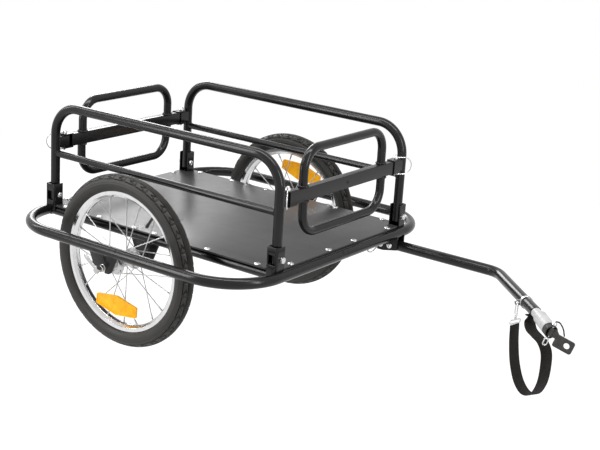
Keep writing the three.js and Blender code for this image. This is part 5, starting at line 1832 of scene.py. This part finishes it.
def make_towbar():
    line = bent_route([(TOWBAR_TAIL_X, TOWBAR_Y, TOWBAR_Z), (TOWBAR_CORNER_X, TOWBAR_Y, TOWBAR_Z),
                       crank_place(0)], TOWBAR_BEND, 3)
    shell = tube(line, TOWBAR_RADIUS, TOWBAR_WALL, 44)
    tail = shell.points[:, 0] < TOWBAR_TAIL_X + 2
    slant = math.tan(TOWBAR_MITRE) * (shell.points[:, 2] - TOWBAR_Z)
    shell.points[:, 0] += np.where(tail, slant, 0)
    make_piece("cranked_towbar_tube", shell, BLACK, ["towbar_tube"])
    dress_node("towbar_bracket", BLACK)
    bolt = hex_bolt_pair(TOW_HALF_SPAN + FIT)
    make_piece("towbar_hinge_bolt", bolt.turn(ALONG_Y, (TOW_BOLT_X, TOWBAR_Y, TOWBAR_Z)), ZINC,
               ["towbar_pivot_bolt"])


make_towbar()

# %% [markdown]
# A locking pin goes through the bracket and the tail, so that the bar can't fold on the road. It is
# a turned pin with a collar and a knob, and a wire link hangs from the knob. A link is a closed loop
# of wire with round corners, so one function makes this one, the hitch pin's and the snap hook.

# %% Locking pin
TOW_PIN_X = 316
LINK_WIRE = 1.25
LOCK_LINK_DROOP = math.radians(23)


def link_line(start, direction, across, length, width):
    """A closed wire link: a long loop with round corners that begins and ends in its carrier."""
    half, tip = width / 2, start + direction * length
    corners = [start, start + across * half, tip + across * half, tip - across * half,
               start - across * half, start]
    return corners, half


def link_wire(corners, half, radius, side_count=14):
    return wire(bent_route(corners, half - radius / 2, 0.8), radius, side_count)


def make_lock_pin():
    low = -2 * (TOW_HALF_SPAN + FIT) - 5
    pin = turned([(0, low), (2, low), (4, low + 4), (4, 0), (8, 0), (8, 2.4), (7.4, 3), (5, 3), (5, 6),
                  (4.4, 7), (4.4, 16), (5, 17), (5, 23), (4.2, 24), (0, 24)], 36)
    along = spot(0, -math.sin(LOCK_LINK_DROOP), math.cos(LOCK_LINK_DROOP))
    pin.join(link_wire(*link_line(spot(0, 0, 21.5), along, spot(1, 0, 0), 29, 13), LINK_WIRE))
    place = (TOW_PIN_X, TOWBAR_Y - TOW_HALF_SPAN - FIT, TOWBAR_Z)
    make_piece("pull_ring_lock_pin", pin.turn(((1, 0, 0), (0, 0, 1), (0, -1, 0)), place), ZINC,
               ["towbar_lock_pin"])


make_lock_pin()

# %% [markdown]
# ## Hitch
#
# A silver sleeve turns on the towbar's end, and its spigot reaches back into the tube. Both are round,
# so both are turned: the spigot about the crank's own axis, and the sleeve about the hitch's, which
# droops a little from it.

# %% Sleeve
NECK_RADIUS = 11
SLEEVE_RADIUS = 14.8


def make_sleeve():
    neck = turned([(0, -40), (9.6, -40), (10, -39.4), (10, 0.3), (10.4, 0.3), (NECK_RADIUS, 0.9),
                   (NECK_RADIUS, 19), (0, 19)], 56)
    neck.turn(CRANK_AXES, crank_place(0))
    r, end = SLEEVE_RADIUS, SLEEVE_LENGTH
    body = turned([(0, 0), (NECK_RADIUS, 0), (11.9, 2), (r - 0.9, 7.6), (r, 10), (r, end - 1.4),
                   (r - 1.2, end), (0, end)], 56)
    body.turn(HITCH_AXES, hitch_place(NECK_LENGTH))
    make_piece("silver_hitch_sleeve", neck.join(body), SILVER, ["hitch_sleeve"], sharp=30)


make_sleeve()
print(f"the sleeve reaches {NECK_LENGTH + SLEEVE_LENGTH} mm past the towbar's end")

# %% [markdown]
# The bush is a rubber cup that lets the hitch plate swing and soaks up knocks. It is a thick ring
# round the plate's eye, and it is cut away on the side where the plate lies. The cut is a slope: past
# a height that keeps the floor of the cup, points on that side are pressed down to it.

# %% Bush
BUSH_LENGTH = 17
BUSH_FLOOR = HITCH_PIN_Z + 1.9


def make_bush():
    r, z = BUSH_RADIUS, BUSH_LENGTH
    cup = turned([(0, 0), (r - 0.8, 0), (r, 0.8), (r, 3.2), (r - 0.7, 3.9), (r - 0.7, 4.9), (r, 5.6),
                  (r, z - 1), (r - 1, z), (12.4, z), (12.4, 4.5), (0, 4.5)], 72)
    slant = np.clip((-cup.points[:, 1] - 4) / 4, 0, 1)
    cup.points[:, 2] -= slant * np.maximum(0, cup.points[:, 2] - BUSH_FLOOR)
    make_piece("rubber_hitch_cup", cup.turn(HITCH_AXES, hitch_place(NECK_LENGTH + SLEEVE_LENGTH + FIT)),
               RUBBER, ["hitch_bush"])


make_bush()

# %% [markdown]
# The hitch plate goes under the nut of the bicycle's rear axle. It is a flat steel blade with a
# shoulder, a hole near its tip and a round eye that turns on the hitch pin. It is cut as an outline
# with arcs at its corners, and the eye is turned, because the real one is forged from both forms.

# %% Hitch plate
TONGUE_LENGTH = 56
TONGUE_SHOULDER = 14
TONGUE_THICKNESS = 5
TONGUE_HOLE_RADIUS = 6.5
TONGUE_HOLE_TO_TIP = 14.5


def make_tongue():
    """A steel plate in the tongue's frame: wide along x, thick along y, reaching along z."""
    left, right = TONGUE_OFFSET - TONGUE_WIDTH / 2, TONGUE_OFFSET + TONGUE_WIDTH / 2
    shoulder, tip = TONGUE_SHOULDER, TONGUE_LENGTH
    blade = rounded([(left, shoulder), (-9, shoulder), (-9, 4), (9, 4), (9, 10), (right, shoulder + 4),
                     (right, tip), (left, tip)], [4, 1, 0.5, 0.5, 1, 3, 5, 5])
    hole = circle_outline(TONGUE_HOLE_RADIUS, TONGUE_OFFSET, tip - TONGUE_HOLE_TO_TIP, 40)
    shell = plate(blade, TONGUE_THICKNESS, [hole]).move(0, 0, -TONGUE_THICKNESS / 2).turn(DRAWN_UPRIGHT)
    eye = turned([(3.4, -9), (6.4, -9), (7, -8.4), (7, 8.4), (6.4, 9), (3.4, 9)], 40, True)
    shell.join(eye.turn(ALONG_X))
    make_piece("hitch_tongue_plate", shell.turn(TONGUE_AXES, PIN_CENTRE), STEEL, ["hitch_tongue"], edge=0.6)


make_tongue()

# %% [markdown]
# The hitch pin holds the plate's eye in the bush. It has a flat head, and a wire link at its lower
# end keeps it from dropping out.

# %% Hitch pin
def make_hitch_pin():
    low = -2 * (BUSH_RADIUS + FIT) - 4
    pin = turned([(0, low), (2.4, low), (3, low + 0.7), (3, 0), (5.4, 0), (6, 0.7), (6, 3.5), (4.2, 5.8),
                  (0, 6)], 32)
    pin.join(link_wire(*link_line(spot(0, 0, low + 2.5), spot(0, 0, -1), spot(0, 1, 0), 16, 9),
                       LINK_WIRE, 12))
    wide, normal, forward = HITCH_AXES
    pin.turn((-forward, normal, wide), PIN_CENTRE + wide * (BUSH_RADIUS + FIT))
    make_piece("hitch_pin_and_link", pin, ZINC, ["hitch_pin"])


make_hitch_pin()

# %% [markdown]
# ## Clamp and snap hook
#
# A band clamp round the towbar carries the snap hook. It is a turned band with an ear of sheet,
# drilled for the hook's wire, and a small clamping screw. The ear is a plate with one hole.

# %% Clamp
EAR_HOLE_STEPS = 32


def make_clamp():
    bore, outer, eye = TOWBAR_RADIUS + FIT, BAND_OUTER, EAR_EYE
    band = turned([(bore, -3.5), (outer - 0.4, -3.5), (outer, -3.1), (outer, 3.1), (outer - 0.4, 3.5),
                   (bore, 3.5)], 64, True)
    ear = rounded([(1 - outer, -6), (-eye - 6, -6), (-eye - 6, 6), (1 - outer, 6)], [0.5, 5.8, 5.8, 0.5])
    hole = circle_outline(EAR_HOLE_RADIUS, -eye, 0, EAR_HOLE_STEPS)
    band.join(plate(ear, 3, [hole]).move(0, 0, -1.5))
    band.join(button_head(3.4, 2.4, 1.4).turn(((1, 0, 0), (0, 0, 1), (0, -1, 0)), (2 - outer, -4.8, 0)))
    make_piece("towbar_band_clamp", band.turn(CRANK_AXES, crank_place(CLAMP_PLACE)), ZINC,
               ["strap_clamp"], sharp=30)


make_clamp()

# %% [markdown]
# The hook is bent from wire, with a swivel barrel below it and a rectangular slide that the strap is
# sewn round. The hook and its slide are wires that close on themselves, and the barrel is turned.

# %% Snap hook
SWIVEL = ((0, -38), (2.2, -38), (3.2, -37), (3.2, -34.5), (2.4, -34), (2.4, -33), (3.2, -32.5),
          (3.2, -29.5), (2.4, -28.6), (0, -28.6))


def make_snap_hook():
    wide = spot(CRANK[0], CRANK[1], 0)
    shell = link_wire(*link_line(spot(0, 0, -30), spot(0, 0, 1), wide, 30, 13), HOOK_WIRE)
    shell.join(turned(SWIVEL, 28))
    x, z = rounded([(-15.5, -4), (15.5, -4), (15.5, 4), (-15.5, 4)], 2.6).T
    slide = wire(np.column_stack([x, np.zeros(len(x)), z]), 1.5, 12, wrap=True)
    slide.turn((STRAP_TOP_ACROSS, np.cross(spot(0, 0, 1), STRAP_TOP_ACROSS), (0, 0, 1)),
               (0, 0, -HOOK_SLIDE_MIDDLE))
    make_piece("swivel_snap_hook", shell.join(slide).turn(ALONG_Z, hook_place()), ZINC, ["snap_hook"])


make_snap_hook()

# %% [markdown]
# ## Studio
#
# The photograph is a product picture on white, so the room is a pale floor and an even sky. Making
# the room white by more light would wash out the black paint. Instead the floor and the sky give a
# plain, weak light to the object, and only the rays from the camera, from gloss and through clear
# plastic see them as white. The floor keeps a share of its own shading, and with it the object's
# shadow. It lies lower than the wheels stand, because the folded towbar swings below them.

# %% Floor and sky
TOWBAR_SWING_ROOM = 0.265
FLOOR_REACH = 2.6
FLOOR_WHITE_STRENGTH = 1.2
FLOOR_WHITE_SHARE = 0.75
SKY_STRENGTH = 0.36


def show_white(tree, surface, white, share, output):
    """Mixes a share of plain white into a surface for camera, glossy and transmission rays."""
    path = tree.nodes.new("ShaderNodeLightPath")
    seen = path.outputs["Is Camera Ray"]
    for label in ("Is Glossy Ray", "Is Transmission Ray"):
        either = tree.nodes.new("ShaderNodeMath")
        either.operation = "MAXIMUM"
        tree.links.new(seen, either.inputs[0])
        tree.links.new(path.outputs[label], either.inputs[1])
        seen = either.outputs[0]
    amount = tree.nodes.new("ShaderNodeMath")
    amount.operation = "MULTIPLY"
    amount.inputs[1].default_value = share
    tree.links.new(seen, amount.inputs[0])
    blend = tree.nodes.new("ShaderNodeMixShader")
    tree.links.new(amount.outputs[0], blend.inputs["Fac"])
    tree.links.new(surface.outputs[0], blend.inputs[1])
    tree.links.new(white.outputs[0], blend.inputs[2])
    tree.links.new(blend.outputs[0], output.inputs["Surface"])


def make_floor():
    low = float(model_box[0][2]) - TOWBAR_SWING_ROOM
    reach = FLOOR_REACH
    mesh = bpy.data.meshes.new("studio_floor")
    mesh.from_pydata([(-reach, -reach, low), (reach, -reach, low), (reach, reach, low),
                      (-reach, reach, low)], [], [(0, 1, 2, 3)])
    look = Look("pale_floor", Roughness=0.9)
    look.shader.inputs["Base Color"].default_value = (0.8, 0.8, 0.8, 1)
    white = look.add("ShaderNodeEmission")
    white.inputs["Strength"].default_value = FLOOR_WHITE_STRENGTH
    show_white(look.tree, look.shader, white, FLOOR_WHITE_SHARE, look.tree.nodes["Material Output"])
    mesh.materials.append(look.material)
    floor = bpy.data.objects.new("studio_floor", mesh)
    bpy.context.collection.objects.link(floor)
    print(f"floor at {low:.3f} m")


def make_sky():
    world = bpy.data.worlds.new("studio_sky")
    world.use_nodes = True
    sky = world.node_tree.nodes["Background"]
    sky.inputs["Color"].default_value = (1, 1, 1, 1)
    sky.inputs["Strength"].default_value = SKY_STRENGTH
    white = world.node_tree.nodes.new("ShaderNodeBackground")
    white.inputs["Color"].default_value = (1, 1, 1, 1)
    show_white(world.node_tree, sky, white, 1, world.node_tree.nodes["World Output"])
    bpy.context.scene.world = world


make_floor()
make_sky()

# %% [markdown]
# Black paint shows nothing but reflections, so the lamps are what draws the tubes. Five soft boxes
# stand round the trailer. A long strip overhead draws a streak on every level tube, an upright strip
# on each side draws one on the uprights, a broad box behind lays a sheen on the deck, and a last
# strip lights the rear gate. Each lamp is an area light that is turned towards what it lights.

# %% Soft boxes
REAR_GATE = (-0.35, 0, 0.15)


def add_softbox(name, place, width, height, power, target=(0, 0, 0)):
    light = bpy.data.lights.new(name, "AREA")
    light.shape = "RECTANGLE"
    light.size = width
    light.size_y = height
    light.energy = power
    lamp = bpy.data.objects.new(name, light)
    bpy.context.collection.objects.link(lamp)
    lamp.location = place
    aim = Vector(target) - Vector(place)
    lamp.rotation_euler = aim.to_track_quat("-Z", "Y").to_euler()
    print(f"{name}: {power} W over {width} by {height} m")


add_softbox("overhead_strip", (0.1, -0.5, 2.3), 3.2, 0.42, 50)
add_softbox("left_strip", (-1.6, -2.4, 1.0), 0.35, 2.2, 34)
add_softbox("right_strip", (2.6, -0.4, 1.1), 0.35, 1.8, 26)
add_softbox("back_softbox", (-2.15, 1.55, 1.25), 1.1, 0.85, 30)
add_softbox("rear_strip", (-2.2, -0.7, 1.5), 0.3, 1.6, 16, REAR_GATE)

bpy.context.scene.view_settings.view_transform = "Standard"
